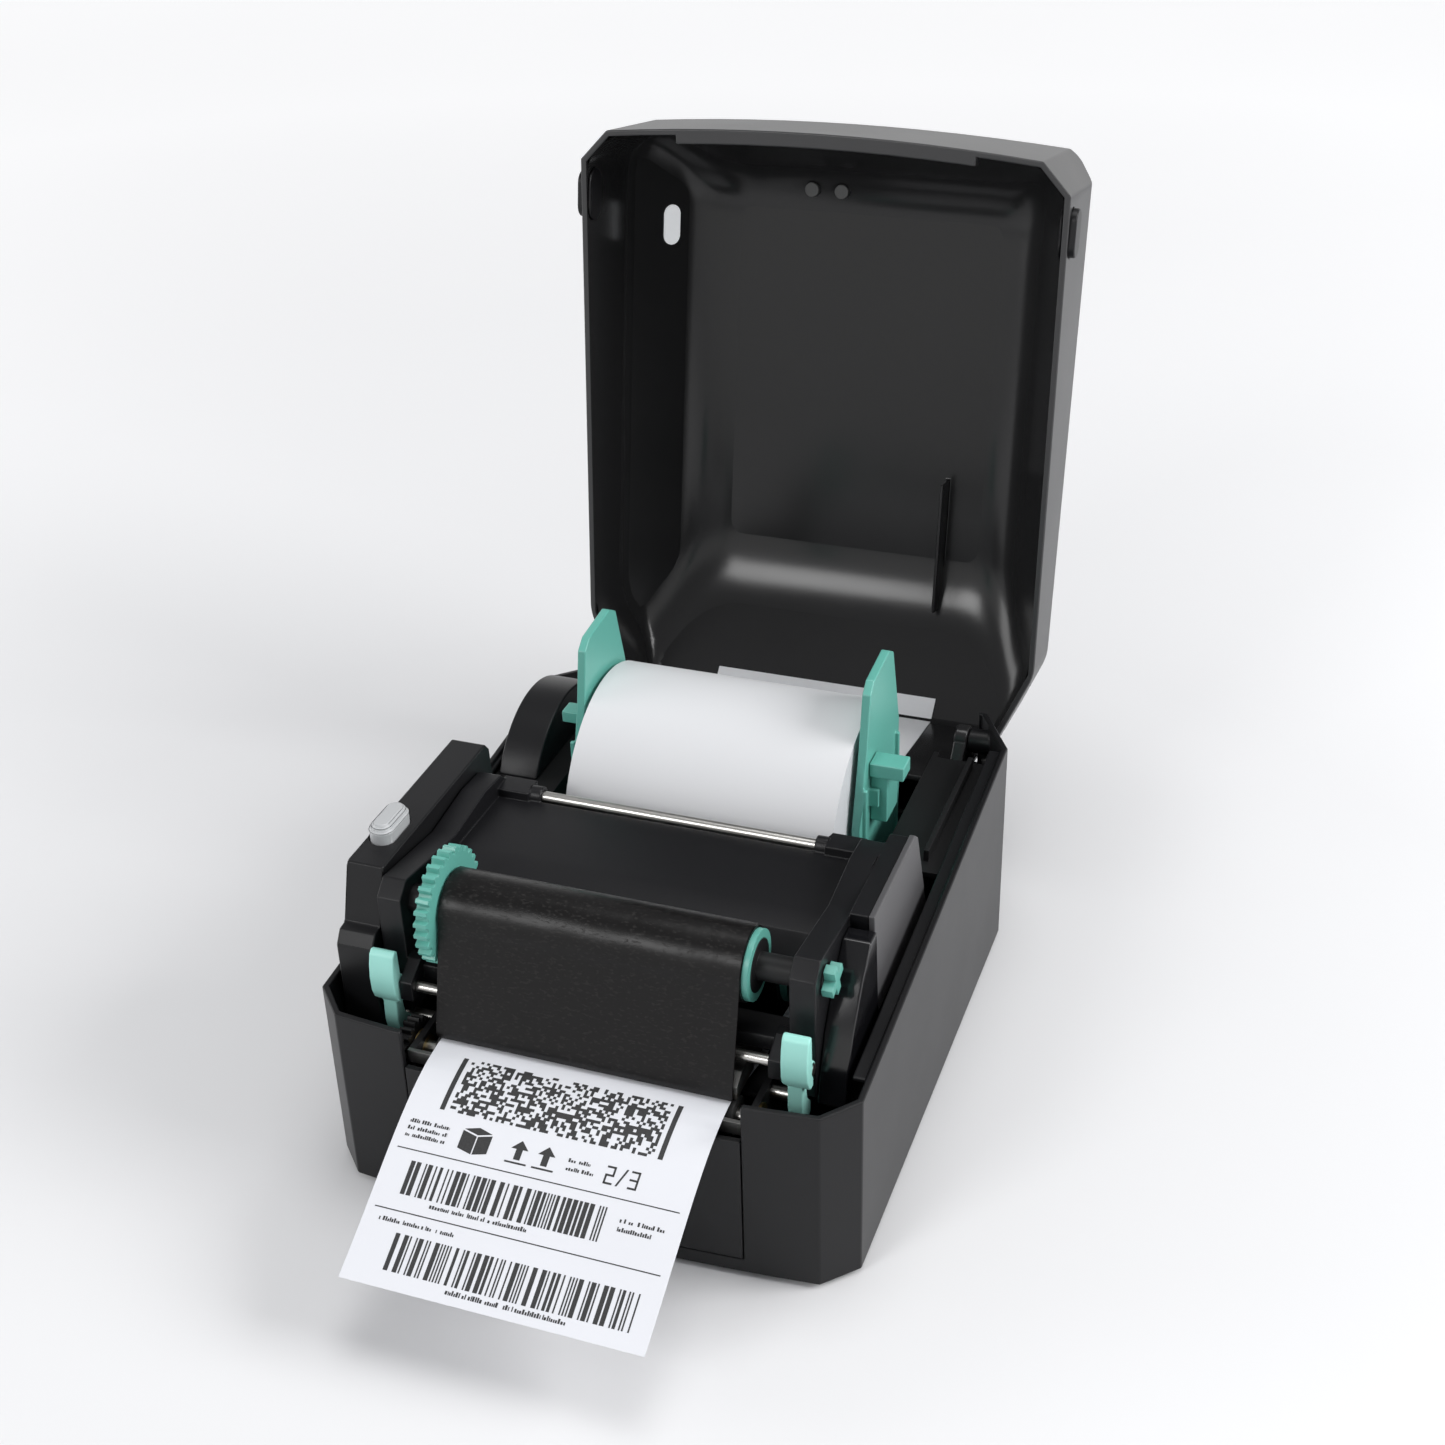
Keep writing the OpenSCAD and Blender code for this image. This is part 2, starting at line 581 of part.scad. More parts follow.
module platen_shaft() color(steel) rod_x(gear_x - 0.6, chassis_out_x + 2, platen_y, platen_z, platen_shaft_r);

module platen_roller() color(rubber) difference() {
    rod_x(-label_w / 2 - 1.5, label_w / 2 + 1.5, platen_y, platen_z, platen_r);
    rod_x(-half_w, half_w, platen_y, platen_z, platen_shaft_r + fit);
}

module sensor_rail() color(steel) rod_x(-chassis_out_x, chassis_out_x, sensor_y, rail_z, 1.5);

module media_sensor() color(frame_black) difference() {
    box([-6, sensor_y - 3.5, rail_z - 3], [6, sensor_y + 3.5, path_z(sensor_y) - ramp_drop + 2]);
    rod_x(-10, 10, sensor_y, rail_z, 1.5 + fit);
}

guide_y0 = platen_y + 42;
guide_y1 = platen_y + 56;

// Edge guide for the label web; its foot stands on the chassis ramp
module label_guide() color(teal) along_x(label_w / 2 + gap, label_w / 2 + 2.5) polygon([
    [guide_y0, path_z(guide_y0) - ramp_drop + gap], [guide_y0 + 2, path_z(guide_y0) + 4],
    [guide_y1 - 2, path_z(guide_y1) + 5], [guide_y1, path_z(guide_y1) - ramp_drop + gap]]);

module label_guide_left() mirror([1, 0, 0]) label_guide();

module label_guide_right() label_guide();

// ---- Label roll and its holders ----

hub_r = core_bore_r - 0.1;
hub_depth = 5.5;

module holder_profile() polygon([
    [roll_y - 27, bay_floor_z + gap], [roll_y - 27, 92], [roll_y - 18, 124], [roll_y - 14, 145],
    [roll_y - 9, 149], [roll_y + 12, 151], [roll_y + 18, 147.5], [roll_y + 28, 112],
    [roll_y + 28, bay_floor_z + gap]]);

module holder_body() {
    along_x(holder_x, holder_out_x) holder_profile();
    rod_x(holder_x - hub_depth, holder_x + 0.1, roll_y, roll_z, hub_r);
    rod_x(holder_x - 1.4, holder_x + 0.1, roll_y, roll_z, hub_r + 5);
    // Foot and runner
    box([holder_x, roll_y - 14, bay_floor_z + gap], [holder_out_x + 3, roll_y + 14, bay_floor_z + 6]);
    box([holder_x, roll_y - 3.7, bay_floor_z - 0.7], [holder_out_x + 3, roll_y + 3.7, bay_floor_z + 1]);
    // Stiffening ribs on the outer face
    for (y = [roll_y - 24, roll_y + 22]) box([holder_out_x - 0.1, y, bay_floor_z + 8], [holder_out_x + 1.6, y + 2, 108]);
}

module holder_left() color(teal) mirror([1, 0, 0]) {
    holder_body();
    box([holder_out_x - 0.1, roll_y - 16, 112], [holder_out_x + 8, roll_y - 8, 117]);
}

module holder_right() color(teal) {
    holder_body();
    // Guide ears for the lock
    for (y = [roll_y - 15.5, roll_y + 2.3]) box([holder_out_x - 0.1, y, 96], [holder_out_x + 4, y + 1.8, 104]);
}

module holder_lock() color(teal) {
    box([holder_out_x + 0.2, roll_y - 13.4, 88.5], [holder_out_x + 7, roll_y + 2, 110.5]);
    box([holder_out_x + 0.2, roll_y - 16, 110], [holder_out_x + 14, roll_y - 6, 116]);
}

module roll_core() color([0.72, 0.60, 0.45]) difference() {
    rod_x(-label_w / 2, label_w / 2, roll_y, roll_z, core_bore_r + core_wall);
    rod_x(-half_w, half_w, roll_y, roll_z, core_bore_r);
}

module label_roll() color(paper) difference() {
    rod_x(-label_w / 2, label_w / 2, roll_y, roll_z, roll_r);
    rod_x(-half_w, half_w, roll_y, roll_z, core_bore_r + core_wall + fit);
}

// The web leaves the roll from below, rises to the platen and hangs over the front
web_start_y = roll_y - roll_r * sin(path_slope) - 1;
web_end = [front_y - 73, 30.5];

module label_web() color(paper) along_x(-label_w / 2, label_w / 2) polygon(strip_points(concat(
    curve(web_end, [front_y - 37, 47.5], [front_y - 15, label_z + 0.5], [platen_y, label_z], 16),
    [[platen_y + 14, path_z(platen_y + 14)], [web_start_y, path_z(web_start_y) - label_t - gap]]), label_t));

// ---- Lid, modelled shut and turned open about its hinge ----

function side_angle() = atan2(case_h - lid_knee_z, half_w - lid_top_half_w);
function rear_angle() = atan2(case_h - lid_knee_z, rear_y - lid_top_rear_y);
ear_r = 6;
lid_front_y = front_y + lid_setback;
function front_angle() = atan2(case_h - lid_knee_z, lid_top_front_y - lid_front_y + front_bow);

module half_space() translate([-case_w, -case_w, 0]) cube([2 * case_w, 2 * case_w, case_w]);

module lid_form(t) difference() {
    linear_extrude(case_h - t) polygon(plan_points(t, lid_front_y));
    both_sides() translate([half_w - t * sin(side_angle()), 0, lid_knee_z - t * cos(side_angle())])
        rotate([0, side_angle(), 0]) half_space();
    translate([0, rear_y - t * sin(rear_angle()), lid_knee_z - t * cos(rear_angle())])
        rotate([-rear_angle(), 0, 0]) half_space();
    translate([0, lid_front_y - front_bow + t * sin(front_angle()), lid_knee_z - t * cos(front_angle())])
        rotate([front_angle(), 0, 0]) half_space();
}

module lid_turn() translate([0, hinge_y, hinge_z]) rotate([-lid_open, 0, 0]) translate([0, -hinge_y, -hinge_z])
    children();

module latch_outline(grow) {
    for (s = [-1, 1]) translate([latch_y + s * 4.5, 0]) circle(r = 5 + grow);
    translate([latch_y - 4.5, -5 - grow]) square([9, 10 + 2 * grow]);
}

latch_z = rim(latch_y) + 7.5;

// The lid's status window lies on its left sloping side
window_drop = 14 / cos(side_angle());

module window_place() mirror([1, 0, 0]) translate([half_w, window_y, lid_knee_z]) rotate([0, side_angle(), 0])
    translate([-window_drop, 0, 0]) children();

module window_outline(grow) {
    for (s = [-1, 1]) translate([0, s * 4.5]) circle(r = 3 + grow);
    translate([-3 - grow, -4.5]) square([6 + 2 * grow, 9]);
}

module lid_closed() difference() {
    union() {
        intersection() {
            difference() {
                lid_form(0);
                lid_form(wall);
            }
            above_rim(lid_gap);
        }
        // Rear flap and the hinge ears on it
        box([-flap_half_w, rear_y - wall, flap_z], [flap_half_w, rear_y, lid_knee_z - 10]);
        both_sides() {
            along_x(flap_half_w - 5.7, flap_half_w - 0.3) polygon([
                [hinge_y, hinge_z - ear_r], [rear_y - 1, hinge_z - 15], [rear_y - 1, hinge_z + 15], [hinge_y, hinge_z + ear_r]]);
            rod_x(flap_half_w - 5.7, flap_half_w - 0.3, hinge_y, hinge_z, ear_r);
        }
        // Thick lip along the middle of the front edge
        intersection() {
            difference() {
                linear_extrude(case_h) polygon(plan_points(wall / 2, lid_front_y));
                linear_extrude(case_h) polygon(plan_points(wall + 3.5, lid_front_y));
            }
            above_rim(lid_gap);
            box([-60, front_y - case_d, 0], [64, front_y + 25, rim_front_z + 7]);
        }
        // Bosses and a rib under the top
        for (x = [-26, -12.5]) translate([x, front_y + 34, case_h - wall - 3]) cylinder(h = 3.5, r = 3.5);
        box([42.4, roll_y - 18, case_h - wall - 12], [44, lid_top_rear_y + 4, case_h - wall + 0.5]);
    }
    both_sides() rod_x(flap_half_w - 8, half_w, hinge_y, hinge_z, hinge_pin_r + fit);
    // Notches for the side latches
    both_sides() {
        translate([0, 0, latch_z]) along_x(half_w - wall - 1, half_w + 1) latch_outline(gap);
    }
    window_place() translate([0, 0, -10]) linear_extrude(20) window_outline(gap / 2);
}

module lid() color(case_black) lid_turn() lid_closed();

module status_window() color([0.92, 0.93, 0.94]) lid_turn() window_place()
    translate([0, 0, -wall - 0.6]) {
        linear_extrude(wall + 0.3) window_outline(0);
        linear_extrude(0.5) window_outline(1.2);
    }

module lid_latch() color(frame_black) lid_turn() translate([0, 0, latch_z]) {
    along_x(half_w - wall - 0.2, half_w + 2.6) latch_outline(0);
    along_x(half_w - wall - 1.3, half_w - wall - 0.2) latch_outline(1.2);
}

module lid_latch_left() mirror([1, 0, 0]) lid_latch();

module lid_latch_right() lid_latch();

// Printed sheet stuck to the inside of the rear wall, up over the start of the slope
guide_half_w = 52;
guide_rise = 11;
sheet_y = rear_y - wall - fit;
knee_in_z = lid_knee_z - wall * (1 - sin(rear_angle())) / cos(rear_angle());

module loading_guide() color([0.70, 0.71, 0.74]) lid_turn() along_x(-guide_half_w, guide_half_w)
    polygon(strip_points([[sheet_y, hinge_z - 1], [sheet_y, knee_in_z],
        [sheet_y - guide_rise * cos(rear_angle()), knee_in_z + guide_rise * sin(rear_angle())]], label_t));

module hinge_pins() color(steel) both_sides()
    rod_x(flap_half_w - 6.5, half_w - 15, hinge_y, hinge_z, hinge_pin_r);

// ---- Carriage ----

cover_x0 = plate_outer_x + gap;
cover_x1 = plate_outer_x + 9.3;
skin_t = 2.2;
beam_y0 = lever_y + 5;
beam_z0 = 80.5;

module plate_profile() polygon([
    [front_y + 24, 65], [front_y + 24, 114], [front_y + 30, 119.5], [supply_y - 10, 114], [rod_y - 15, 117],
    [rod_y - 1, 116], [rod_y + 8, 107], [pivot_y + 9, pivot_z + 2], [pivot_y + 9, pivot_z - 4],
    [pivot_y + 4, pivot_z - 9], [supply_y - 12, 73], [supply_y - 16, 65]]);

tie_y0 = supply_y + supply_r + 2;
tie_z0 = pivot_z + 4;
rod_y = front_y + 109.8;
rod_z = 108.8;

roof_z = rod_z;
roof_path = [[rod_y - rod_r - 0.7, roof_z - 0.3], [supply_y - 8, roof_z], [supply_y - 19, roof_z - 2.5],
    [supply_y - 26.5, roof_z - 9], [supply_y - 28.5, roof_z - 16]];

// The roof's section along the first points of its path
module roof_profile(last) polygon(strip_points([for (i = [0:last]) roof_path[i]], 2));

module carriage_frame() color(frame_black) difference() {
    union() {
        both_sides() {
            along_x(plate_inner_x, plate_outer_x) plate_profile();
            // Lugs for the lever shaft
            along_x(plate_inner_x - 5.2, plate_inner_x) polygon([
                [lever_y - 4.5, lever_z - 4], [lever_y - 4.5, lever_z + 4], [lever_y + 4, lever_z + 9],
                [beam_y0 + 4, lever_z + 9], [beam_y0 + 4, lever_z - 4]]);
            along_x(plate_inner_x - 1, plate_inner_x + 1) polygon([
                [front_y + 25, lever_z - 4], [front_y + 25, lever_z + 8],
                [beam_y0 + 4, lever_z + 8], [beam_y0 + 4, lever_z - 4]]);
            // Brackets of the guide rod
            box([ribbon_w / 2 + 3.5, rod_y - 5, rod_z - 5], [plate_inner_x + 1, rod_y + 5, rod_z + 3.5]);
            rod_x(ribbon_w / 2 - 1, ribbon_w / 2 + 4, rod_y, rod_z, rod_r + 1.6);
        }
        // Housing of the ribbon gears behind the grey cover
        along_x(plate_outer_x - 0.1, cover_x1 - skin_t) side_cover_profile(0.6);
        // Roof over the supply roll; its front stays clear of the rewind gear
        along_x(-plate_inner_x - 1, plate_inner_x + 1) roof_profile(2);
        along_x(-ribbon_w / 2 - 0.5, plate_inner_x + 1) roof_profile(4);
        // Head beam and rear tie
        box([-plate_inner_x - 1, beam_y0, beam_z0], [plate_inner_x + 1, beam_y0 + 12, beam_z0 + 6]);
        box([-plate_inner_x - 1, tie_y0, tie_z0], [plate_inner_x + 1, tie_y0 + 8, tie_z0 + 10]);
    }
    rod_x(-half_w, half_w, lever_y, lever_z, lever_shaft_r + fit);
    rod_x(-half_w, half_w, pivot_y, pivot_z, pivot_r + fit);
    rod_x(-plate_inner_x - 2, plate_inner_x + 2, rod_y, rod_z, rod_r + fit);
    rod_x(-half_w, half_w, rewind_y, rewind_z, spindle_r + fit);
    rod_x(-plate_inner_x - 6, plate_inner_x + 6, supply_y, supply_z, spindle_r + fit);
    for (x = [-34, 34]) translate([x, platen_y + 13.5, beam_z0 - 1]) cylinder(h = 8, r = 1.4 + fit);
}

module guide_rod() color(steel) rod_x(-plate_inner_x - 1.8, plate_inner_x + 1.8, rod_y, rod_z, rod_r);

module side_cover_profile(t) polygon([
    [supply_y - 12 + t, 71 + t], [supply_y - 17 + t, 117 - t], [pivot_y - 11 - t, 117 - t],
    [pivot_y - 6.5 - t, 113.5 - t], [pivot_y + 9.5 - t, 71 + t]]);

module carriage_side_cover() color(cover_grey)
    along_x(cover_x1 - skin_t, cover_x1) side_cover_profile(0);

module mechanism_profile(t) polygon([
    [supply_y - 13.2 - t, 62 + t], [supply_y - 17.8 - t * 0.9, 112 - t], [supply_y - 25 + t * 0.4, 112 - t],
    [supply_y - 35 + t * 0.75, 103 - t * 0.67], [front_y + 33 + t * 0.87, 88 - t * 0.5],
    [front_y + 26 + t * 0.97, 72 - t * 0.3], [front_y + 24.5 + t * 1.16, 62 + t]]);

module mechanism_cover() color(frame_black) difference() {
    along_x(plate_outer_x, cover_x1 + 1.2) mechanism_profile(0);
    along_x(plate_outer_x - 1, cover_x1 - 0.8) mechanism_profile(2);
}

module print_head() color([0.55, 0.50, 0.42]) {
    box([-ribbon_w / 2 - 1, platen_y - 1.5, head_z], [ribbon_w / 2 + 1, platen_y + 16, head_z + 2.4]);
}

bracket_top_z = head_z + 8;

module head_bracket() color(steel) along_x(-ribbon_w / 2 - 1, ribbon_w / 2 + 1) polygon([
    [platen_y - 1.2, head_z + 2.4], [platen_y - 1.2, head_z + 5], [platen_y + 4, bracket_top_z],
    [platen_y + 16, bracket_top_z], [platen_y + 16, head_z + 2.4]]);

spring_coils = 6;
spring_wire = 0.55;

module head_springs() color(steel) for (x = [-34, 34]) translate([x, platen_y + 13.5, bracket_top_z])
    for (i = [0:spring_coils - 1])
        translate([0, 0, spring_wire + (beam_z0 - bracket_top_z - 2 * spring_wire) * i / (spring_coils - 1)])
            rotate_extrude() translate([2.4, 0]) circle(r = spring_wire);

// Shoulder pins that guide the head in its beam, inside the springs
module head_pins() color(steel) for (x = [-34, 34]) translate([x, platen_y + 13.5, 0]) {
    translate([0, 0, bracket_top_z]) cylinder(h = beam_z0 + 6.4 - bracket_top_z, r = 1.4);
    translate([0, 0, beam_z0 + 6.05]) cylinder(h = 1.5, r = 3);
}

module spindle_cross(x0, x1) along_x(x0, x1) for (a = [0, 90])
    translate([rewind_y, rewind_z]) rotate(a + 20) square([12, 3.6], center = true);

module rewind_spindle() color(frame_black) {
    rod_x(-plate_outer_x + 1, plate_outer_x + 0.5, rewind_y, rewind_z, spindle_r);
    rod_x(ribbon_w / 2 + 0.1, ribbon_w / 2 + 2.6, rewind_y, rewind_z, collar_r);
}

// Hand gear at the left end of the rewind spindle
rewind_gear_r = 21.5;
rewind_gear_teeth = 30;

module rewind_gear() color(teal) translate([-ribbon_w / 2 - 5.9, rewind_y, rewind_z]) rotate([90, 0, 90])
    difference() {
        union() {
            cylinder(h = 5, r = rewind_gear_r - 2);
            for (i = [0:rewind_gear_teeth - 1]) rotate(360 * i / rewind_gear_teeth)
                translate([rewind_gear_r - 2.4, 0, 0]) linear_extrude(5)
                    polygon([[0, -1.5], [2.4, -0.7], [2.4, 0.7], [0, 1.5]]);
            cylinder(h = 5.8, r = spindle_r + 4);
        }
        translate([0, 0, -1]) cylinder(h = 12, r = spindle_r + fit);
        translate([0, 0, -1]) difference() {
            cylinder(h = 3.5, r = rewind_gear_r - 5);
            translate([0, 0, -1]) cylinder(h = 6, r = spindle_r + 4);
        }
    }

module rewind_ribbon() color(film_black) difference() {
    rod_x(-ribbon_w / 2, ribbon_w / 2, rewind_y, rewind_z, rewind_r);
    rod_x(-half_w, half_w, rewind_y, rewind_z, spindle_r + fit);
}

module ring_x(x0, x1, y, z, r, bore) difference() {
    rod_x(x0, x1, y, z, r);
    rod_x(x0 - 1, x1 + 1, y, z, bore);
}

collar_r = 9.5;

// Right hub of the rewind roll and the cross-shaped end of its spindle
module rewind_hubs() color(teal) {
    ring_x(ribbon_w / 2 + 0.1, ribbon_w / 2 + 2.3, rewind_y, rewind_z, rewind_r - 0.8, collar_r + fit);
    spindle_cross(plate_outer_x + 0.5, plate_outer_x + 4.5);
}

module supply_spindle() color(frame_black)
    rod_x(-plate_inner_x - 5.5, plate_inner_x + 5.5, supply_y, supply_z, spindle_r);

module supply_ribbon() color(film_black)
    ring_x(-ribbon_w / 2, ribbon_w / 2, supply_y, supply_z, supply_r, spindle_r + fit);

module supply_hubs() color(teal) both_sides()
    ring_x(ribbon_w / 2 + 0.3, ribbon_w / 2 + 3, supply_y, supply_z, supply_r - 2, spindle_r + fit);

ribbon_bend = [platen_y + 20, ribbon_z];

// Where a line from point p touches the underside of a roll about c
function low_tangent(p, c, r) = let(a = atan2(p[1] - c[1], p[0] - c[0]) + acos(r / norm(p - c)))
    c + r * [cos(a), sin(a)];

// The ribbon runs from the supply roll under the head and up to the rewind roll
module ribbon_web() color(film_black) along_x(-ribbon_w / 2, ribbon_w / 2) polygon(strip_points([
    [rewind_y - rewind_r - 0.4, rewind_z], [platen_y - 3.2, ribbon_z + 2.4], [platen_y - 2.6, ribbon_z + 0.5],
    [platen_y - 1.6, ribbon_z], ribbon_bend,
    low_tangent(ribbon_bend, [supply_y, supply_z], supply_r + 0.7)], ribbon_t));

// ---- Release levers ----

module lever_shaft() color(steel)
    rod_x(-plate_outer_x - 0.4, plate_outer_x + 0.4, lever_y, lever_z, lever_shaft_r);

lever_x0 = plate_inner_x + 0.3;
lever_x1 = plate_outer_x + 0.5;

module release_lever() color(teal) difference() {
    union() {
        rod_x(lever_x0, plate_outer_x, lever_y, lever_z, 3.1);
        // Pad with a bulged front
        along_x(lever_x0, lever_x1) polygon([
            [lever_y - 2.2, lever_z + 16], [lever_y - 4, lever_z + 16.5], [lever_y - 5.6, lever_z + 15],
            [lever_y - 6.8, lever_z + 11], [lever_y - 7.4, lever_z + 6], [lever_y - 7.2, lever_z],
            [lever_y - 6, lever_z - 3.5], [lever_y - 3.6, lever_z - 6], [lever_y - 0.8, lever_z - 6],
            [lever_y - 0.8, lever_z], [lever_y - 1.8, lever_z + 6]]);
        // Tab that hooks in front of the latch stud
        along_x(lever_x0 + 1.6, lever_x0 + 7) polygon([
            [lever_y - 4.6, lever_z - 4], [lever_y - 0.8, lever_z - 4], [lever_y + 1.2, lever_z - 14],
            [stud_y - 2.9, stud_z + 2.5], [stud_y - 2.9, stud_z - 3], [lever_y - 3.4, stud_z - 4],
            [lever_y - 5, lever_z - 14]]);
    }
    rod_x(lever_x0 - 1, lever_x1 + 1, lever_y, lever_z, lever_shaft_r + fit);
}

module release_lever_left() mirror([1, 0, 0]) release_lever();

module release_lever_right() release_lever();

lower_case();
front_panel();
media_tray();
control_tower();
side_cheek();
rubber_feet();
case_screws();
main_board();
dc_inlet();
usb_port();
power_switch_bezel();
power_rocker();
print_chassis();
chassis_studs();
stepper_motor();
motor_pinion();
tear_bar();
idler_gear();
platen_bushes();
platen_shaft();
platen_roller();
platen_gear();
media_sensor();
sensor_rail();
label_guide_left();
label_guide_right();
holder_left();
holder_right();
holder_lock();
roll_core();
label_roll();
label_web();
hinge_pins();
lid();
status_window();
lid_latch_left();
lid_latch_right();
loading_guide();
pivot_pins();
carriage_frame();
carriage_side_cover();
mechanism_cover();
guide_rod();
print_head();
head_bracket();
head_springs();
head_pins();
rewind_spindle();
rewind_gear();
rewind_ribbon();
rewind_hubs();
supply_spindle();
supply_ribbon();
supply_hubs();
ribbon_web();
lever_shaft();
release_lever_left();
release_lever_right();
feed_button();
button_switch();
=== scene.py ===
"""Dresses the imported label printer: camera, finishes, softened shells, printed label, stage and lights."""

import json
import math
import random

import bmesh
import bpy
from mathutils import Matrix, Vector, noise

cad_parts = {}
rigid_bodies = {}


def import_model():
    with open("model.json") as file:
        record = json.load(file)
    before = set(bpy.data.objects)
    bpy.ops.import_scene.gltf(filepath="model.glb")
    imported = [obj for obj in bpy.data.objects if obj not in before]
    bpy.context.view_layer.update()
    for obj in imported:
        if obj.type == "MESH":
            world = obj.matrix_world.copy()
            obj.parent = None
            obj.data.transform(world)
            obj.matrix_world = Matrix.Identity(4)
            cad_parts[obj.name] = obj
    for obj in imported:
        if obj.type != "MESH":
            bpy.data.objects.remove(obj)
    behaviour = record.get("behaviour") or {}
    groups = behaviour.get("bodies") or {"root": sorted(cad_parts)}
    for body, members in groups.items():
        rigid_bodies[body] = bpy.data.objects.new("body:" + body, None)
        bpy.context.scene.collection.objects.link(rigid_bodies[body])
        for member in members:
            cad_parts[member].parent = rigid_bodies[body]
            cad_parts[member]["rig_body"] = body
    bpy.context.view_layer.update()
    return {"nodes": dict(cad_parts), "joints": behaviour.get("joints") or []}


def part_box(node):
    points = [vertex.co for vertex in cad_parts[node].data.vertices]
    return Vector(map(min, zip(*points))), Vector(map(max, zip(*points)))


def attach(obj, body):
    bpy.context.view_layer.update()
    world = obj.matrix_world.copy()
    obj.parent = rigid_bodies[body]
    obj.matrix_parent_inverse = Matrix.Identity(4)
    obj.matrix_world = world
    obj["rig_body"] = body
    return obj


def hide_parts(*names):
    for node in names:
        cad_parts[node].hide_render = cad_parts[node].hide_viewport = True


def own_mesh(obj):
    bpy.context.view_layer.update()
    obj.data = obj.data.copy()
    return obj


for leftover in list(bpy.data.objects):
    bpy.data.objects.remove(leftover)
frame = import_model()
nodes = frame["nodes"]
scene = bpy.context.scene
MM = 0.001
axis_of = {joint["name"]: Vector(joint["pos_m"]) / MM for joint in frame["joints"] if "pos_m" in joint}

# ---------------------------------------------------------------- camera

AZIMUTH, ELEVATION, ROLL = (math.radians(a) for a in (20.59, 30.81, -1.72))
CAMERA_PLACE = Vector((0.24878, -0.63205, 0.54441))
PICTURE_WIDTH, FOCAL_LENGTH = 1445, 2091.63
SENSOR = 36


def make_camera():
    """The camera, turned by its azimuth, elevation and roll. Its focal length is in picture widths."""
    level_share = math.cos(ELEVATION)
    back = Vector((math.sin(AZIMUTH) * level_share, -math.cos(AZIMUTH) * level_share, math.sin(ELEVATION)))
    level = (-back).cross(Vector((0, 0, 1))).normalized()
    rise = level.cross(-back)
    right = math.cos(ROLL) * level + math.sin(ROLL) * rise
    up = math.cos(ROLL) * rise - math.sin(ROLL) * level
    camera = bpy.data.objects.new("camera", bpy.data.cameras.new("camera"))
    scene.collection.objects.link(camera)
    turn = Matrix((right, up, back)).transposed().to_4x4()
    camera.matrix_world = Matrix.Translation(CAMERA_PLACE) @ turn
    camera.data.sensor_width = SENSOR
    camera.data.lens = FOCAL_LENGTH / PICTURE_WIDTH * SENSOR
    camera.data.clip_start = 0.01
    scene.camera = camera


make_camera()

# ---------------------------------------------------------------- shader maths


class Wire:
    """A socket of a finish. Arithmetic on it adds Math nodes."""

    def __init__(self, finish, socket):
        self.finish, self.socket = finish, socket

    def math(self, operation, first, second=0.0):
        values = {0: first, 1: second}
        return self.finish.node("ShaderNodeMath", {"operation": operation}, values)["Value"]

    def __add__(self, other):
        return self.math("ADD", self, other)

    __radd__ = __add__

    def __sub__(self, other):
        return self.math("SUBTRACT", self, other)

    def __rsub__(self, other):
        return self.math("SUBTRACT", other, self)

    def __mul__(self, other):
        return self.math("MULTIPLY", self, other)

    __rmul__ = __mul__

    def __pow__(self, other):
        return self.math("POWER", self, other)

    def __gt__(self, other):
        return self.math("GREATER_THAN", self, other)


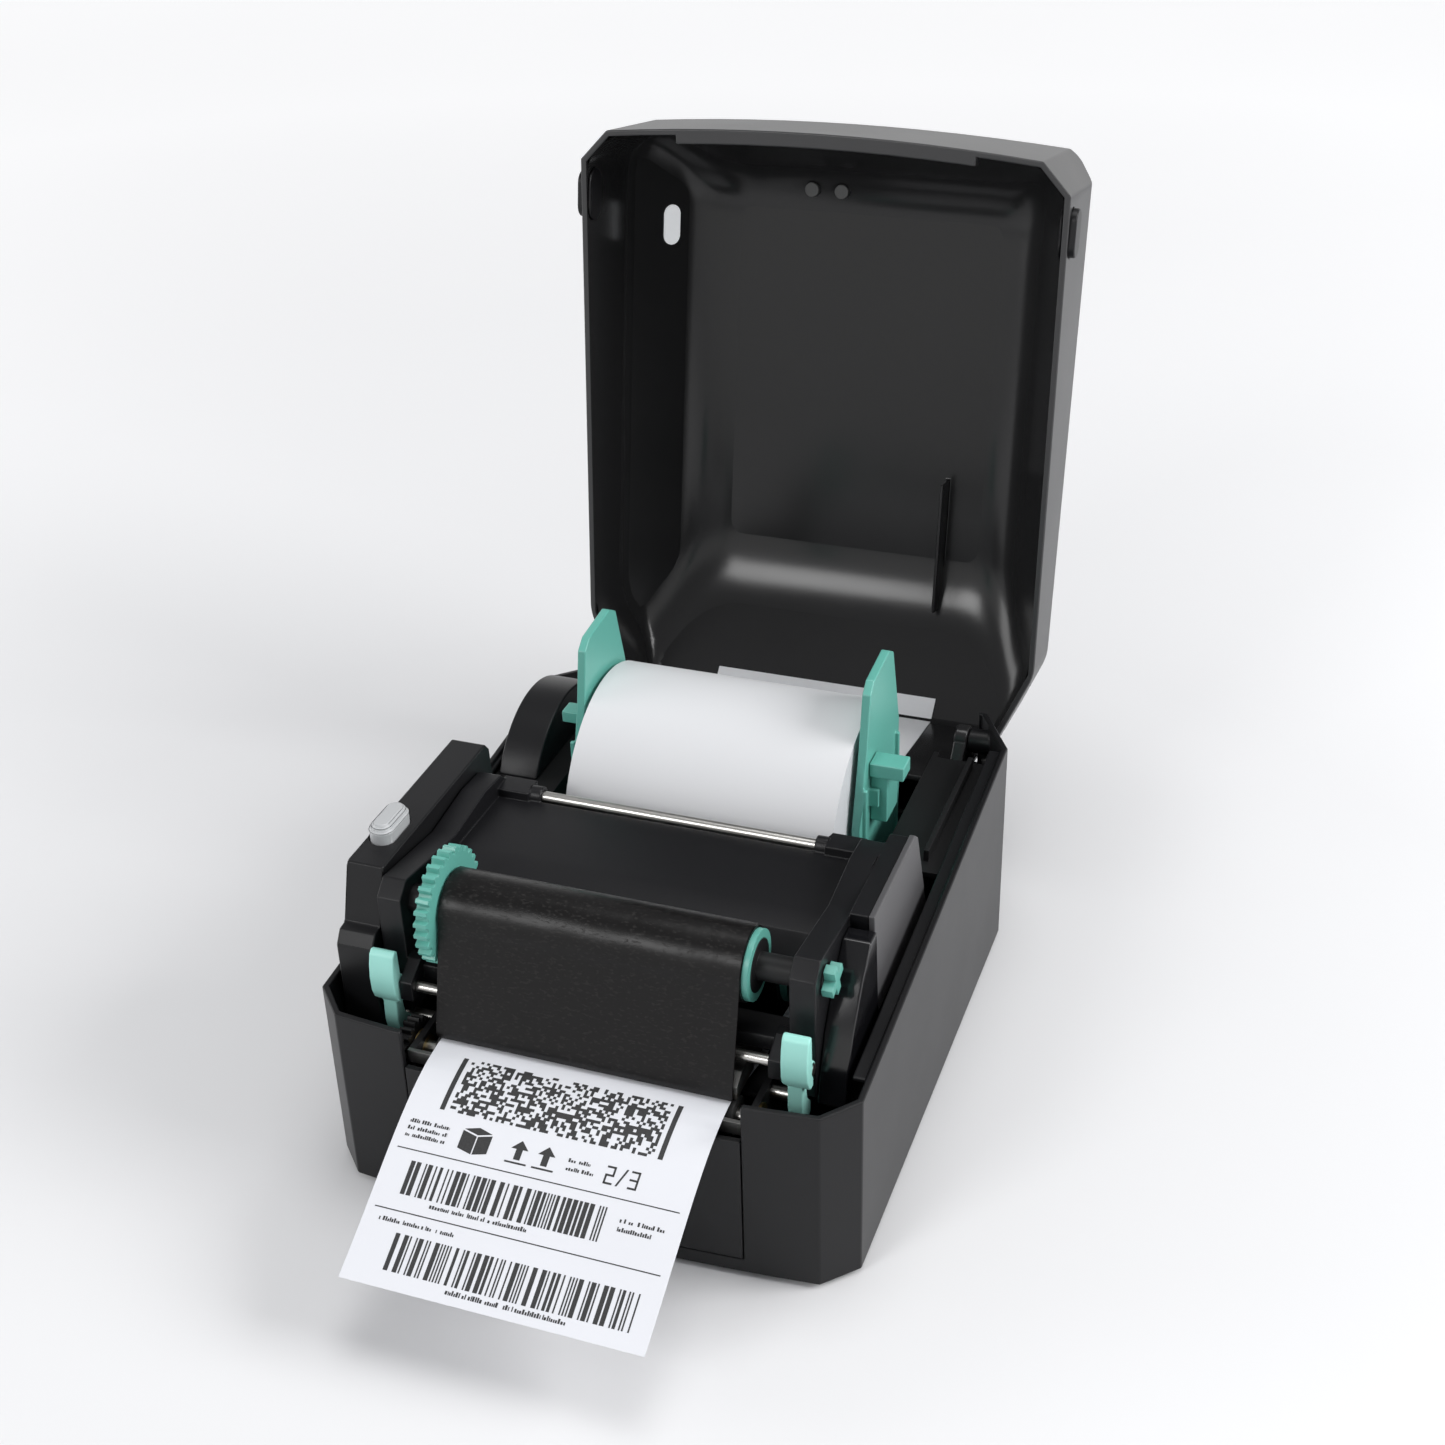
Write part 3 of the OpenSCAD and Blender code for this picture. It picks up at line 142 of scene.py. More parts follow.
class Finish:
    """The node tree of a material or of the world."""

    def __init__(self, name, kind=bpy.data.materials):
        self.material = kind.new(name)
        self.material.use_nodes = True
        self.tree = self.material.node_tree
        self.tree.nodes.clear()

    def node(self, kind, settings=None, values=None):
        """Adds a node, makes its settings, then sets or links its sockets. Gives its outputs by name."""
        made = self.tree.nodes.new(kind)
        for name, setting in (settings or {}).items():
            if name == "stops":
                self.set_stops(made.color_ramp, setting)
            else:
                setattr(made, name, setting)
        for key, value in (values or {}).items():
            if isinstance(key, int):
                socket = made.inputs[key]
            else:
                socket = next(s for s in made.inputs if key in (s.identifier, s.name))
            if isinstance(value, Wire):
                self.tree.links.new(value.socket, socket)
            else:
                socket.default_value = value
        outputs = {s.identifier: Wire(self, s) for s in made.outputs}
        outputs.update({s.name: Wire(self, s) for s in made.outputs})
        return outputs

    @staticmethod
    def set_stops(ramp, stops):
        while len(ramp.elements) < len(stops):
            ramp.elements.new(0.5)
        for element, (place, shade) in zip(ramp.elements, stops):
            element.position = place
            element.color = (*shade, 1) if isinstance(shade, tuple) else (shade, shade, shade, 1)

    def place(self, scale=(1, 1, 1)):
        """The point on the piece in metres, stretched by scale."""
        spot = self.node("ShaderNodeTexCoord")["Object"]
        return self.node("ShaderNodeMapping", {}, {"Vector": spot, "Scale": scale})["Vector"]

    def noise(self, scale, detail=3.0, stretch=(1, 1, 1), roughness=0.5):
        values = {"Vector": self.place(stretch), "Scale": scale, "Detail": detail, "Roughness": roughness}
        return self.node("ShaderNodeTexNoise", {}, values)["Fac"]

    def ramp(self, amount, stops):
        return self.node("ShaderNodeValToRGB", {"stops": stops}, {"Fac": amount})["Color"]

    def blend(self, amount, first, second):
        values = {"Factor_Float": amount, "A_Color": shade(first), "B_Color": shade(second)}
        return self.node("ShaderNodeMix", {"data_type": "RGBA"}, values)["Result_Color"]

    def parts(self, vector):
        """The parts of a vector, by the names X, Y and Z."""
        return self.node("ShaderNodeSeparateXYZ", {}, {"Vector": vector})

    def level(self, grey):
        """The value of a grey colour."""
        return self.node("ShaderNodeSeparateColor", {}, {"Color": grey})["Red"]

    def round_edges(self, radius):
        return self.node("ShaderNodeBevel", {"samples": 4}, {"Radius": radius})["Normal"]

    def bump(self, height, distance, strength=1.0, under=None):
        values = {"Height": height, "Distance": distance, "Strength": strength}
        if under is not None:
            values["Normal"] = under
        return self.node("ShaderNodeBump", {}, values)["Normal"]

    def surface(self, **sockets):
        """Ends the tree in one Principled shader."""
        values = {name.replace("_", " ").title(): value for name, value in sockets.items()}
        values = {name.replace("Ior", "IOR"): value for name, value in values.items()}
        if "Base Color" in values:
            values["Base Color"] = shade(values["Base Color"])
        bsdf = self.node("ShaderNodeBsdfPrincipled", {}, values)["BSDF"]
        self.node("ShaderNodeOutputMaterial", {}, {"Surface": bsdf})
        return self.material


def shade(colour):
    """A colour with its alpha, or a link as it is."""
    return colour if isinstance(colour, Wire) else (*colour, 1)


# ---------------------------------------------------------------- finishes

BLACK = (0.0075, 0.0075, 0.0083)
# The lid's black is the case's plastic painted lighter, for the light that falls on the lid.
LID_BLACK_PAINTED_LIGHT = (0.028, 0.028, 0.029)
LINING_BLACK = (0.0155, 0.0155, 0.016)
# Two copies of one teal plastic: the first darkened for painted shade on the holders, the second paler for
# painted light on the front-facing levers.
TEAL_PAINTED_SHADE = (0.115, 0.385, 0.325)
TEAL_PAINTED_LIGHT = (0.35, 0.74, 0.66)


def moulded_plastic(name, colour, roughness, grain=0.00006, grain_scale=2600, edge=0.0, wear=0.25, **more):
    """Moulded plastic with a fine grain, faint cloudiness and rubbed patches. Lengths are in metres."""
    finish = Finish(name)
    fine = finish.noise(grain_scale, 2)
    cloud = finish.noise(22, 4)
    rubbed = finish.noise(9, 5, roughness=0.6)
    paler = tuple(min(1, c * (1 + wear)) for c in colour)
    normal = finish.round_edges(edge) if edge else None
    return finish.surface(
        base_color=finish.blend(cloud, colour, paler),
        roughness=roughness - 0.05 + rubbed * 0.12,
        normal=finish.bump(fine, grain, 0.6, normal),
        **more,
    )


def brushed_metal(name, colour, roughness, along=(0.02, 1, 1)):
    """Drawn or turned metal with fine lines along its length."""
    finish = Finish(name)
    lines = finish.noise(3000, 3, along)
    stain = finish.noise(40, 4)
    darker = tuple(c * 0.72 for c in colour)
    return finish.surface(
        base_color=finish.blend(stain, darker, colour),
        metallic=1.0,
        roughness=roughness + lines * 0.15,
        normal=finish.bump(lines, 0.00002, 0.5, finish.round_edges(0.00015)),
    )


def wound_paper(name, axis_y, axis_z, colour, line_shade):
    """Paper wound on a core: smooth round the outside, fine rings on the ends."""
    finish = Finish(name)
    spot = finish.parts(finish.place())
    y = spot["Y"] - axis_y
    z = spot["Z"] - axis_z
    reach = (y * y + z * z) ** 0.5
    rings = finish.node("ShaderNodeMath", {"operation": "SINE"}, {0: reach * 9000})["Value"]
    facing = finish.parts(finish.node("ShaderNodeTexCoord")["Normal"])
    sideways = finish.node("ShaderNodeMath", {"operation": "ABSOLUTE"}, {0: facing["X"]})["Value"] > 0.8
    fibre = finish.noise(700, 4, (1, 0.3, 0.3))
    mottle = finish.noise(14, 3)
    ring_lines = sideways * (0.5 + rings * 0.5)
    return finish.surface(
        base_color=finish.blend(ring_lines * 0.5 + mottle * 0.12, colour, line_shade),
        roughness=0.5 + fibre * 0.12,
        specular_ior_level=0.4,
        normal=finish.bump(fibre + ring_lines * 1.5, 0.00004, 0.4),
    )


def inked_film(name, colour, sheen_roughness):
    """Ribbon film: shiny, faintly creased, with used patches."""
    finish = Finish(name)
    creases = finish.noise(30, 3, (1.6, 0.5, 0.5))
    ticks = finish.noise(520, 2, (1, 2.2, 2.2))
    faded = finish.level(finish.ramp(ticks, [(0.56, 0.0), (0.68, 1.0)]))
    return finish.surface(
        base_color=finish.blend(faded * 0.3, colour, (0.035, 0.032, 0.03)),
        roughness=sheen_roughness + faded * 0.15 + creases * 0.1,
        specular_ior_level=0.25,
        normal=finish.bump(creases + faded * 0.02, 0.0012, 0.5),
    )


def coated_paper(name, colour):
    """Smooth label stock with faint mottling."""
    finish = Finish(name)
    fibre = finish.noise(900, 4)
    mottle = finish.noise(26, 3)
    dimmer = tuple(c * 0.965 for c in colour)
    return finish.surface(
        base_color=finish.blend(mottle, dimmer, colour),
        roughness=0.42 + fibre * 0.1,
        specular_ior_level=0.4,
        normal=finish.bump(fibre, 0.00003, 0.3),
    )


def circuit_board(name):
    """Solder mask with a fine net of tracks under it."""
    finish = Finish(name)
    values = {"Vector": finish.place((1, 1, 0)), "Scale": 260, "Mortar Size": 0.12, "Bias": 0.0}
    values |= {"Color1": shade((0, 0, 0)), "Color2": shade((0.2, 0.2, 0.2)), "Mortar": shade((1, 1, 1))}
    track = finish.level(finish.node("ShaderNodeTexBrick", {}, values)["Color"])
    return finish.surface(
        base_color=finish.blend(track * 0.6, (0.008, 0.07, 0.03), (0.05, 0.2, 0.09)),
        roughness=0.32,
        normal=finish.bump(track, 0.00005, 0.4),
    )


def plain_ink(name, colour, roughness):
    """Printed ink with slight unevenness."""
    finish = Finish(name)
    patchy = finish.noise(1500, 2)
    paler = tuple(c + 0.03 for c in colour)
    return finish.surface(base_color=finish.blend(patchy, colour, paler), roughness=roughness)


case_grain = {"grain": 0.00003, "grain_scale": 2200}
lining_grain = {"grain": 0.000015, "grain_scale": 700}
case_skin = moulded_plastic("case_skin", BLACK, 0.36, specular_ior_level=0.28, **case_grain)
# The lid's skin is painted lighter than the case's skin, for the light on the lid.
lid_skin_painted_light = moulded_plastic("lid_skin_painted_light", LID_BLACK_PAINTED_LIGHT, 0.34, specular_ior_level=0.46, **case_grain)
lid_lining = moulded_plastic("lid_lining", LINING_BLACK, 0.18, specular_ior_level=0.36, **lining_grain)
frame_skin = moulded_plastic("frame_skin", (0.006, 0.006, 0.007), 0.36, edge=0.0005, specular_ior_level=0.3)
deep_black = moulded_plastic("deep_black", (0.005, 0.005, 0.0055), 0.5, edge=0.0004, specular_ior_level=0.35)
gloss_black = moulded_plastic("gloss_black", (0.005, 0.005, 0.006), 0.12, grain=0.00002, grain_scale=300)
cover_grey = moulded_plastic("cover_grey", (0.06, 0.059, 0.062), 0.5)
boss_grey = moulded_plastic("boss_grey", (0.06, 0.061, 0.06), 0.45, edge=0.0006)
# The teal parts take the copy darkened with painted shade; the levers take the paler copy with painted
# light.
teal_plastic = moulded_plastic("teal_plastic", TEAL_PAINTED_SHADE, 0.3, grain=0.00003, edge=0.0004, wear=0.08)
lever_plastic_painted_light = moulded_plastic("lever_plastic_painted_light", TEAL_PAINTED_LIGHT, 0.35, grain=0.00003, edge=0.0004, wear=0.08)
silver_cap = moulded_plastic("silver_cap", (0.44, 0.45, 0.46), 0.48, grain=0.00003, wear=0.1, metallic=0.12)
rubber = moulded_plastic("rubber", (0.02, 0.02, 0.02), 0.7, grain=0.0001, grain_scale=1800, edge=0.0004)
# The status window glows with painted light, for light passing through it from outside; it is no lamp.
painted_lens_glow = {"emission_color": (0.8, 0.82, 0.84, 1), "emission_strength": 0.45}
window_lens = moulded_plastic("window_lens", (0.78, 0.79, 0.8), 0.3, wear=0.03, edge=0.0003, **painted_lens_glow)
steel = brushed_metal("steel", (0.6, 0.59, 0.56), 0.22)
dull_steel = brushed_metal("dull_steel", (0.35, 0.35, 0.34), 0.35, (1, 0.05, 1))
black_metal = moulded_plastic("black_metal", (0.014, 0.014, 0.015), 0.38, grain_scale=1500, edge=0.0002)
brass = brushed_metal("brass", (0.62, 0.46, 0.2), 0.28)
head_glaze = brushed_metal("head_glaze", (0.33, 0.31, 0.28), 0.3, (0.05, 1, 1))
label_stock = coated_paper("label_stock", (0.75, 0.76, 0.8))
sheet_stock = coated_paper("sheet_stock", (0.72, 0.73, 0.75))
roll_low, roll_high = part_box("label_roll")
ROLL_Y = (roll_low.y + roll_high.y) / 2
ROLL_Z = (roll_low.z + roll_high.z) / 2
wound_labels = wound_paper("wound_labels", ROLL_Y, ROLL_Z, (0.67, 0.675, 0.69), (0.42, 0.44, 0.48))
core_card = wound_paper("core_card", ROLL_Y, ROLL_Z, (0.42, 0.29, 0.17), (0.25, 0.16, 0.09))
ribbon_film = inked_film("ribbon_film", (0.005, 0.0045, 0.0045), 0.26)
board_green = circuit_board("board_green")
black_ink = plain_ink("black_ink", (0.012, 0.012, 0.013), 0.5)
grey_ink = plain_ink("grey_ink", (0.1, 0.1, 0.11), 0.5)

# ---------------------------------------------------------------- shells with rounded edges


def put(piece, *materials):
    """Gives a piece its materials in place of any others."""
    piece.data.materials.clear()
    for material in materials:
        piece.data.materials.append(material)
    return piece


def add_piece(name, shape, *materials):
    """A new piece from a finished bmesh."""
    mesh = bpy.data.meshes.new(name)
    shape.to_mesh(mesh)
    shape.free()
    piece = bpy.data.objects.new(name, mesh)
    scene.collection.objects.link(piece)
    return put(piece, *materials)


def add_grid(shape, rows):
    """Faces between rows of points."""
    grid = [[shape.verts.new(point) for point in row] for row in rows]
    for low_row, high_row in zip(grid, grid[1:]):
        for k in range(len(low_row) - 1):
            shape.faces.new((low_row[k], high_row[k], high_row[k + 1], low_row[k + 1]))


def smooth(mesh):
    mesh.polygons.foreach_set("use_smooth", [True] * len(mesh.polygons))


SAME_POINT = 2e-6
FLAT_TURN = 0.6
SHARP_TURN = 28


def clean_copy(node):
    """A copy of a CAD node's mesh with its coplanar triangles joined."""
    mesh = nodes[node].data.copy()
    mesh.name = node + "_shell"
    shell = bmesh.new()
    shell.from_mesh(mesh)
    bmesh.ops.remove_doubles(shell, verts=shell.verts, dist=SAME_POINT)
    limit = math.radians(FLAT_TURN)
    bmesh.ops.dissolve_limit(shell, angle_limit=limit, verts=shell.verts, edges=shell.edges)
    shell.to_mesh(mesh)
    shell.free()
    for name in ("custom_normal", "sharp_face", "sharp_edge"):
        if name in mesh.attributes:
            mesh.attributes.remove(mesh.attributes[name])
    smooth(mesh)
    return mesh


def soften(node, radius, material, segments=3):
    """A piece that stands for a CAD node, with its edges rounded to radius mm."""
    body = nodes[node]["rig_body"]
    piece = bpy.data.objects.new(node + "_shell", clean_copy(node))
    scene.collection.objects.link(piece)
    edges = piece.modifiers.new("rounded_edges", "BEVEL")
    edges.width = radius * MM
    edges.segments = segments
    edges.limit_method = "ANGLE"
    edges.angle_limit = math.radians(SHARP_TURN)
    edges.use_clamp_overlap = False
    shading = piece.modifiers.new("even_shading", "WEIGHTED_NORMAL")
    shading.mode = "FACE_AREA_WITH_ANGLE"
    shading.weight = 100
    put(piece, material)
    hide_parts(node)
    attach(piece, body)
    return piece


soften("lower_case", 0.7, case_skin)
soften("front_panel", 0.5, case_skin)
soften("side_cheek", 0.7, frame_skin)
soften("carriage_side_cover", 0.5, cover_grey)
soften("mechanism_cover", 0.8, gloss_black)
soften("carriage_frame", 0.5, frame_skin, 2)
for side in ("left", "right"):
    soften(f"release_lever_{side}", 0.6, lever_plastic_painted_light)
    soften(f"holder_{side}", 0.5, teal_plastic, 2)
    soften(f"lid_latch_{side}", 0.6, frame_skin)
soften("holder_lock", 0.5, teal_plastic, 2)
soften("feed_button", 0.9, silver_cap, 4)

# ---------------------------------------------------------------- lid and tower

LID_MIDDLE = Vector((0, 0.150, 0.215))
LID_FACE = 0.0011
TOWER_FACE = 0.00025


def is_lining(face):
    """Whether a face of the open lid looks to the lid's inside."""
    return (face.center - LID_MIDDLE).dot(face.normal) < 0


def weigh_creases(mesh, least_area, least_turn, most_turn, inside=lambda face: False):
    """Marks the ridges between two outside faces of at least an area in square metres, by their turn."""
    faces_at = {}
    for face in mesh.polygons:
        for key in face.edge_keys:
            faces_at.setdefault(tuple(sorted(key)), []).append(face)
    weights = mesh.attributes.new("bevel_weight_edge", "FLOAT", "EDGE")
    for edge in mesh.edges:
        beside = faces_at.get(tuple(sorted(edge.vertices)), [])
        if len(beside) != 2 or min(face.area for face in beside) < least_area:
            continue
        first, second = beside
        ridge = (second.center - first.center).dot(first.normal) < 0
        turn = math.degrees(first.normal.angle(second.normal))
        if ridge and not inside(first) and not inside(second) and least_turn < turn < most_turn:
            weights.data[edge.index].value = 1.0


def round_creases(piece, width):
    """Rounds the marked edges to width mm, before the other edges."""
    broad = piece.modifiers.new("soft_creases", "BEVEL")
    broad.width = width * MM
    broad.segments = 5
    broad.limit_method = "WEIGHT"
    piece.modifiers.move(2, 0)


def dress_lid():
    """The lid's shell: grained outside, shiny inside, with soft creases outside."""
    piece = soften("lid", 0.7, lid_skin_painted_light)
    weigh_creases(piece.data, LID_FACE, least_turn=12, most_turn=75, inside=is_lining)
    round_creases(piece, 4)
    piece.data.materials.append(lid_lining)
    for face in piece.data.polygons:
        face.material_index = 1 if is_lining(face) else 0


def dress_tower():
    """The control tower, with well rounded outer edges."""
    piece = soften("control_tower", 0.7, case_skin)
    weigh_creases(piece.data, TOWER_FACE, least_turn=20, most_turn=100)
    round_creases(piece, 1.6)


dress_lid()
dress_tower()

# The inside of the closed lid in mm. Each plane is its outward normal and its distance from the origin.
HINGE = axis_of["lid_hinge"]
OPEN_TURN = Matrix.Rotation(math.radians(-100), 3, "X")
LINING_INSET = 0.2
ROOF_BEND, WALL_BEND, RIM_BEND = 15, 4, 4
LID_HALF_X, LID_FRONT, LID_REAR = 100, -127, 129
LID_LOW, LID_TOP = 72, 164
FRONT_BOW = 1820
RIM_POINT, RIM_SLOPE = Vector((0, -131, 79.6)), math.radians(4.5)
GRID_PITCH = 4
BOSS_PLACES, BOSS_Y, BOSS_LOW, BOSS_HIGH = (-26, -12.5), -97, 158.4, 162.5
ROOF_PLANES = (
    (Vector((0, 0, 1)), LID_TOP),
    (Vector((0.8123, 0, 0.5832)), 154.92),
    (Vector((-0.8123, 0, 0.5832)), 154.92),
    (Vector((0, 0.6227, 0.7824)), 178.94),
    (Vector((0, -0.8222, 0.5692)), 176.36),
)
WALL_PLANES = (
    (Vector((1, 0, 0)), LID_HALF_X),
    (Vector((-1, 0, 0)), LID_HALF_X),
    (Vector((0.7247, -0.6891, 0)), 149.31),
    (Vector((-0.7247, -0.6891, 0)), 149.31),
    (Vector((0.9192, 0.3939, 0)), 126.82),
    (Vector((-0.9192, 0.3939, 0)), 126.82),
)


def merge(levels, reach):
    """The highest of some levels, rounded where two are within reach of each other."""
    top = levels[0]
    for level in levels[1:]:
        near = max(0.0, reach - abs(top - level))
        top = max(top, level) + near * near / (4 * reach)
    return top


def depth_in_wall(point):
    """How far a point of the closed lid lies beyond its rounded lining."""
    roof = merge([normal.dot(point) - far for normal, far in ROOF_PLANES], ROOF_BEND)
    walls = [normal.dot(point) - far for normal, far in WALL_PLANES]
    walls.append(LID_FRONT - point.y + point.x * point.x / FRONT_BOW)
    return max(merge([roof, merge(walls, WALL_BEND)], RIM_BEND), point.y - LID_REAR) + LINING_INSET


def lining_point(aim, middle):
    """Where the ray from the middle towards aim meets the lining."""
    ray = (aim - middle).normalized()
    near, far = 20.0, 220.0
    for _ in range(16):
        half = (near + far) / 2
        if depth_in_wall(middle + ray * half) > 0:
            far = half
        else:
            near = half
    return middle + ray * near


def steps(low, high):
    """Even places from low to high, about a grid pitch apart."""
    count = round((high - low) / GRID_PITCH)
    return [low + (high - low) * k / count for k in range(count + 1)]


def lid_box_sides():
    """Five sides of a box round the inside of the lid, each as rows of points to aim at."""
    across, along = steps(-LID_HALF_X, LID_HALF_X), steps(LID_FRONT, LID_REAR)
    upward = steps(LID_LOW, LID_TOP)
    sides = [[[Vector((x, y, LID_TOP)) for x in across] for y in along]]
    for y in (LID_FRONT, LID_REAR):
        sides.append([[Vector((x, y, z)) for x in across] for z in upward])
    for x in (-LID_HALF_X, LID_HALF_X):
        sides.append([[Vector((x, y, z)) for y in along] for z in upward])
    return sides


def opened(point):
    """A point of the closed lid in mm, moved to the open lid in metres."""
    return (OPEN_TURN @ (point - HINGE) + HINGE) * MM


def lid_piece(name, shape, material):
    """A piece of the lid from a mesh drawn on the closed lid."""
    for vertex in shape.verts:
        vertex.co = opened(vertex.co)
    piece = add_piece(name, shape, material)
    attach(piece, nodes["lid"]["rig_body"])
    return piece


def lid_lining_piece():
    """The smooth inside of the open lid, with broad bends between its faces."""
    middle = Vector((0, -5, 118))
    lining = bmesh.new()
    for rows in lid_box_sides():
        add_grid(lining, [[lining_point(aim, middle) for aim in row] for row in rows])
    bmesh.ops.remove_doubles(lining, verts=lining.verts, dist=0.05)
    everything = lining.verts[:] + lining.edges[:] + lining.faces[:]
    down = Vector((0, math.sin(RIM_SLOPE), -math.cos(RIM_SLOPE)))
    bmesh.ops.bisect_plane(lining, geom=everything, plane_co=RIM_POINT, plane_no=down, clear_outer=True)
    lining.normal_update()
    bmesh.ops.recalc_face_normals(lining, faces=lining.faces)
    bmesh.ops.reverse_faces(lining, faces=lining.faces)
    smooth(lid_piece("lid_lining", lining, lid_lining).data)


def lid_bosses():
    """The ends of the two round bosses under the lid's top, which stand out of its lining."""
    bosses = bmesh.new()
    size = {"segments": 40, "radius1": 3.1, "radius2": 3.6, "depth": BOSS_HIGH - BOSS_LOW}
    for x in BOSS_PLACES:
        place = Matrix.Translation((x, BOSS_Y, (BOSS_LOW + BOSS_HIGH) / 2))
        bmesh.ops.create_cone(bosses, cap_ends=True, matrix=place, **size)
    lid_piece("lid_bosses", bosses, boss_grey)


lid_lining_piece()
lid_bosses()

# ---------------------------------------------------------------- other nodes keep their CAD shape

finish_of = {
    "media_tray": deep_black,
    "rubber_feet": rubber,
    "case_screws": steel,
    "main_board": board_green,
    "button_switch": board_green,
    "dc_inlet": deep_black,
    "usb_port": dull_steel,
    "power_switch_bezel": frame_skin,
    "power_rocker": gloss_black,
    "print_chassis": black_metal,
    "chassis_studs": steel,
    "stepper_motor": dull_steel,
    "platen_bushes": brass,
    "sensor_rail": steel,
    "tear_bar": dull_steel,
    "hinge_pins": black_metal,
    "pivot_pins": dull_steel,
    "label_web": label_stock,
    "status_window": window_lens,
    "loading_guide": sheet_stock,
    "guide_rod": steel,
    "ribbon_web": ribbon_film,
    "print_head": head_glaze,
    "head_bracket": dull_steel,
    "head_pins": steel,
    "rewind_spindle": deep_black,
    "rewind_gear": teal_plastic,
    "rewind_ribbon": ribbon_film,
    "rewind_hubs": teal_plastic,
    "supply_spindle": deep_black,
    "supply_ribbon": ribbon_film,
    "supply_hubs": teal_plastic,
    "lever_shaft": steel,
    "platen_shaft": steel,
    "platen_roller": rubber,
    "platen_gear": deep_black,
    "idler_gear": deep_black,
    "motor_pinion": deep_black,
    "roll_core": core_card,
    "label_roll": wound_labels,
    "label_guide_left": teal_plastic,
    "label_guide_right": teal_plastic,
    "media_sensor": deep_black,
}
for node, material in finish_of.items():
    put(nodes[node], material)

# ---------------------------------------------------------------- springs over the print head


def head_coils():
    """The head's springs: a steel copy of their CAD mesh, which rides with the springs' own body."""
    coils = bpy.data.objects.new("head_coils", nodes["head_springs"].data.copy())
    scene.collection.objects.link(coils)
    put(coils, steel)
    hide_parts("head_springs")
    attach(coils, nodes["head_springs"]["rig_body"])
    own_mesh(coils)


head_coils()

# ---------------------------------------------------------------- ribbon over the rewind roll

REWIND = axis_of["rewind_spin"]
REWIND_RADIUS = 13.5
FILM_GAP = 0.75
WRAP_START, WRAP_END = 62, 183
WRAP_STEPS, FALL_STEPS, FILM_COLUMNS = 24, 30, 110
RIBBON_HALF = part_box("ribbon_web")[1].x / MM
RIBBON_EDGE = ((-120.4, 69.2), (-119.9, 67.2))
CREASE_HEIGHT, CREASE_SHARE = 0.55, 0.35


def ribbon_path():
    """Points [y, z] in mm over the rewind roll and down to the print head."""
    reach = REWIND_RADIUS + FILM_GAP
    points = []
    for k in range(WRAP_STEPS + 1):
        turn = math.radians(WRAP_START + (WRAP_END - WRAP_START) * k / WRAP_STEPS)
        points.append((REWIND.y + reach * math.cos(turn), REWIND.z + reach * math.sin(turn)))
    start = points[-1]
    for k in range(1, FALL_STEPS + 1):
        points.append(tuple(a + (b - a) * k / FALL_STEPS for a, b in zip(start, RIBBON_EDGE[0])))
    points.append(RIBBON_EDGE[1])
    return points


def film_slack(x, i):
    """How far the film stands off at x mm across and point i along, from broad and fine creases."""
    broad = noise.noise(Vector((x * 0.016, i * 0.05, 3.1)))
    fine = noise.noise(Vector((x * 0.05, i * 0.16, 7.7)))
    return CREASE_HEIGHT * max(0, broad + 0.5 * fine + CREASE_SHARE)


def creased_film():
    """A thin film laid over the rewind roll, with slack creases across it."""
    path = ribbon_path()
    rows = []
    for i, (y, z) in enumerate(path):
        before, after = path[max(i - 1, 0)], path[min(i + 1, len(path) - 1)]
        dy, dz = after[0] - before[0], after[1] - before[1]
        size = math.hypot(dy, dz)
        out_y, out_z = dz / size, -dy / size
        calm = min(1, i / 8, (len(path) - 1 - i) / 3)
        row = []
        for x in (RIBBON_HALF * (2 * k / FILM_COLUMNS - 1) for k in range(FILM_COLUMNS + 1)):
            lift = calm * film_slack(x, i)
            row.append(Vector((x, y + lift * out_y, z + lift * out_z)) * MM)
        rows.append(row)
    film = bmesh.new()
    add_grid(film, rows)
    piece = add_piece("ribbon_wrap", film, ribbon_film)
    smooth(piece.data)
    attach(piece, nodes["ribbon_web"]["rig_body"])


creased_film()

# ---------------------------------------------------------------- print on the label

WEB_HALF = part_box("label_web")[1].x / MM
INK_LIFT = 0.05
WEB_THICK = 0.3
WEB_ANCHORS = ((-204.0, 30.5), (-168.0, 47.5), (-146.0, 66.5), (-117.0, 66.0))
WEB_STEPS = 16


def web_curve():
    """Points [y, z] in mm just over the web, from its free end to the platen, with their distances."""
    points = []
    for i in range(WEB_STEPS + 1):
        s = i / WEB_STEPS
        r = 1 - s
        weights = (r**3, 3 * r * r * s, 3 * r * s * s, s**3)
        points.append(tuple(sum(w * p[k] for w, p in zip(weights, WEB_ANCHORS)) for k in (0, 1)))
    rise = WEB_THICK + INK_LIFT
    lifted, reach, travelled = [], [], 0.0
    for i, (y, z) in enumerate(points):
        before, after = points[max(i - 1, 0)], points[min(i + 1, WEB_STEPS)]
        dy, dz = after[0] - before[0], after[1] - before[1]
        size = math.hypot(dy, dz)
        lifted.append((y - dz / size * rise, z + dy / size * rise))
        if i:
            travelled += math.dist(points[i], points[i - 1])
        reach.append(travelled)
    return lifted, reach


CURVE, REACH = web_curve()


def on_web(u, v):
    """The point u mm from the web's left edge and v mm from its free end, in metres."""
    i = next((k for k in range(1, len(REACH)) if REACH[k] >= v), len(REACH) - 1)
    share = (v - REACH[i - 1]) / (REACH[i] - REACH[i - 1])
    y = CURVE[i - 1][0] + share * (CURVE[i][0] - CURVE[i - 1][0])
    z = CURVE[i - 1][1] + share * (CURVE[i][1] - CURVE[i - 1][1])
    return Vector(((u - WEB_HALF) * MM, y * MM, z * MM))


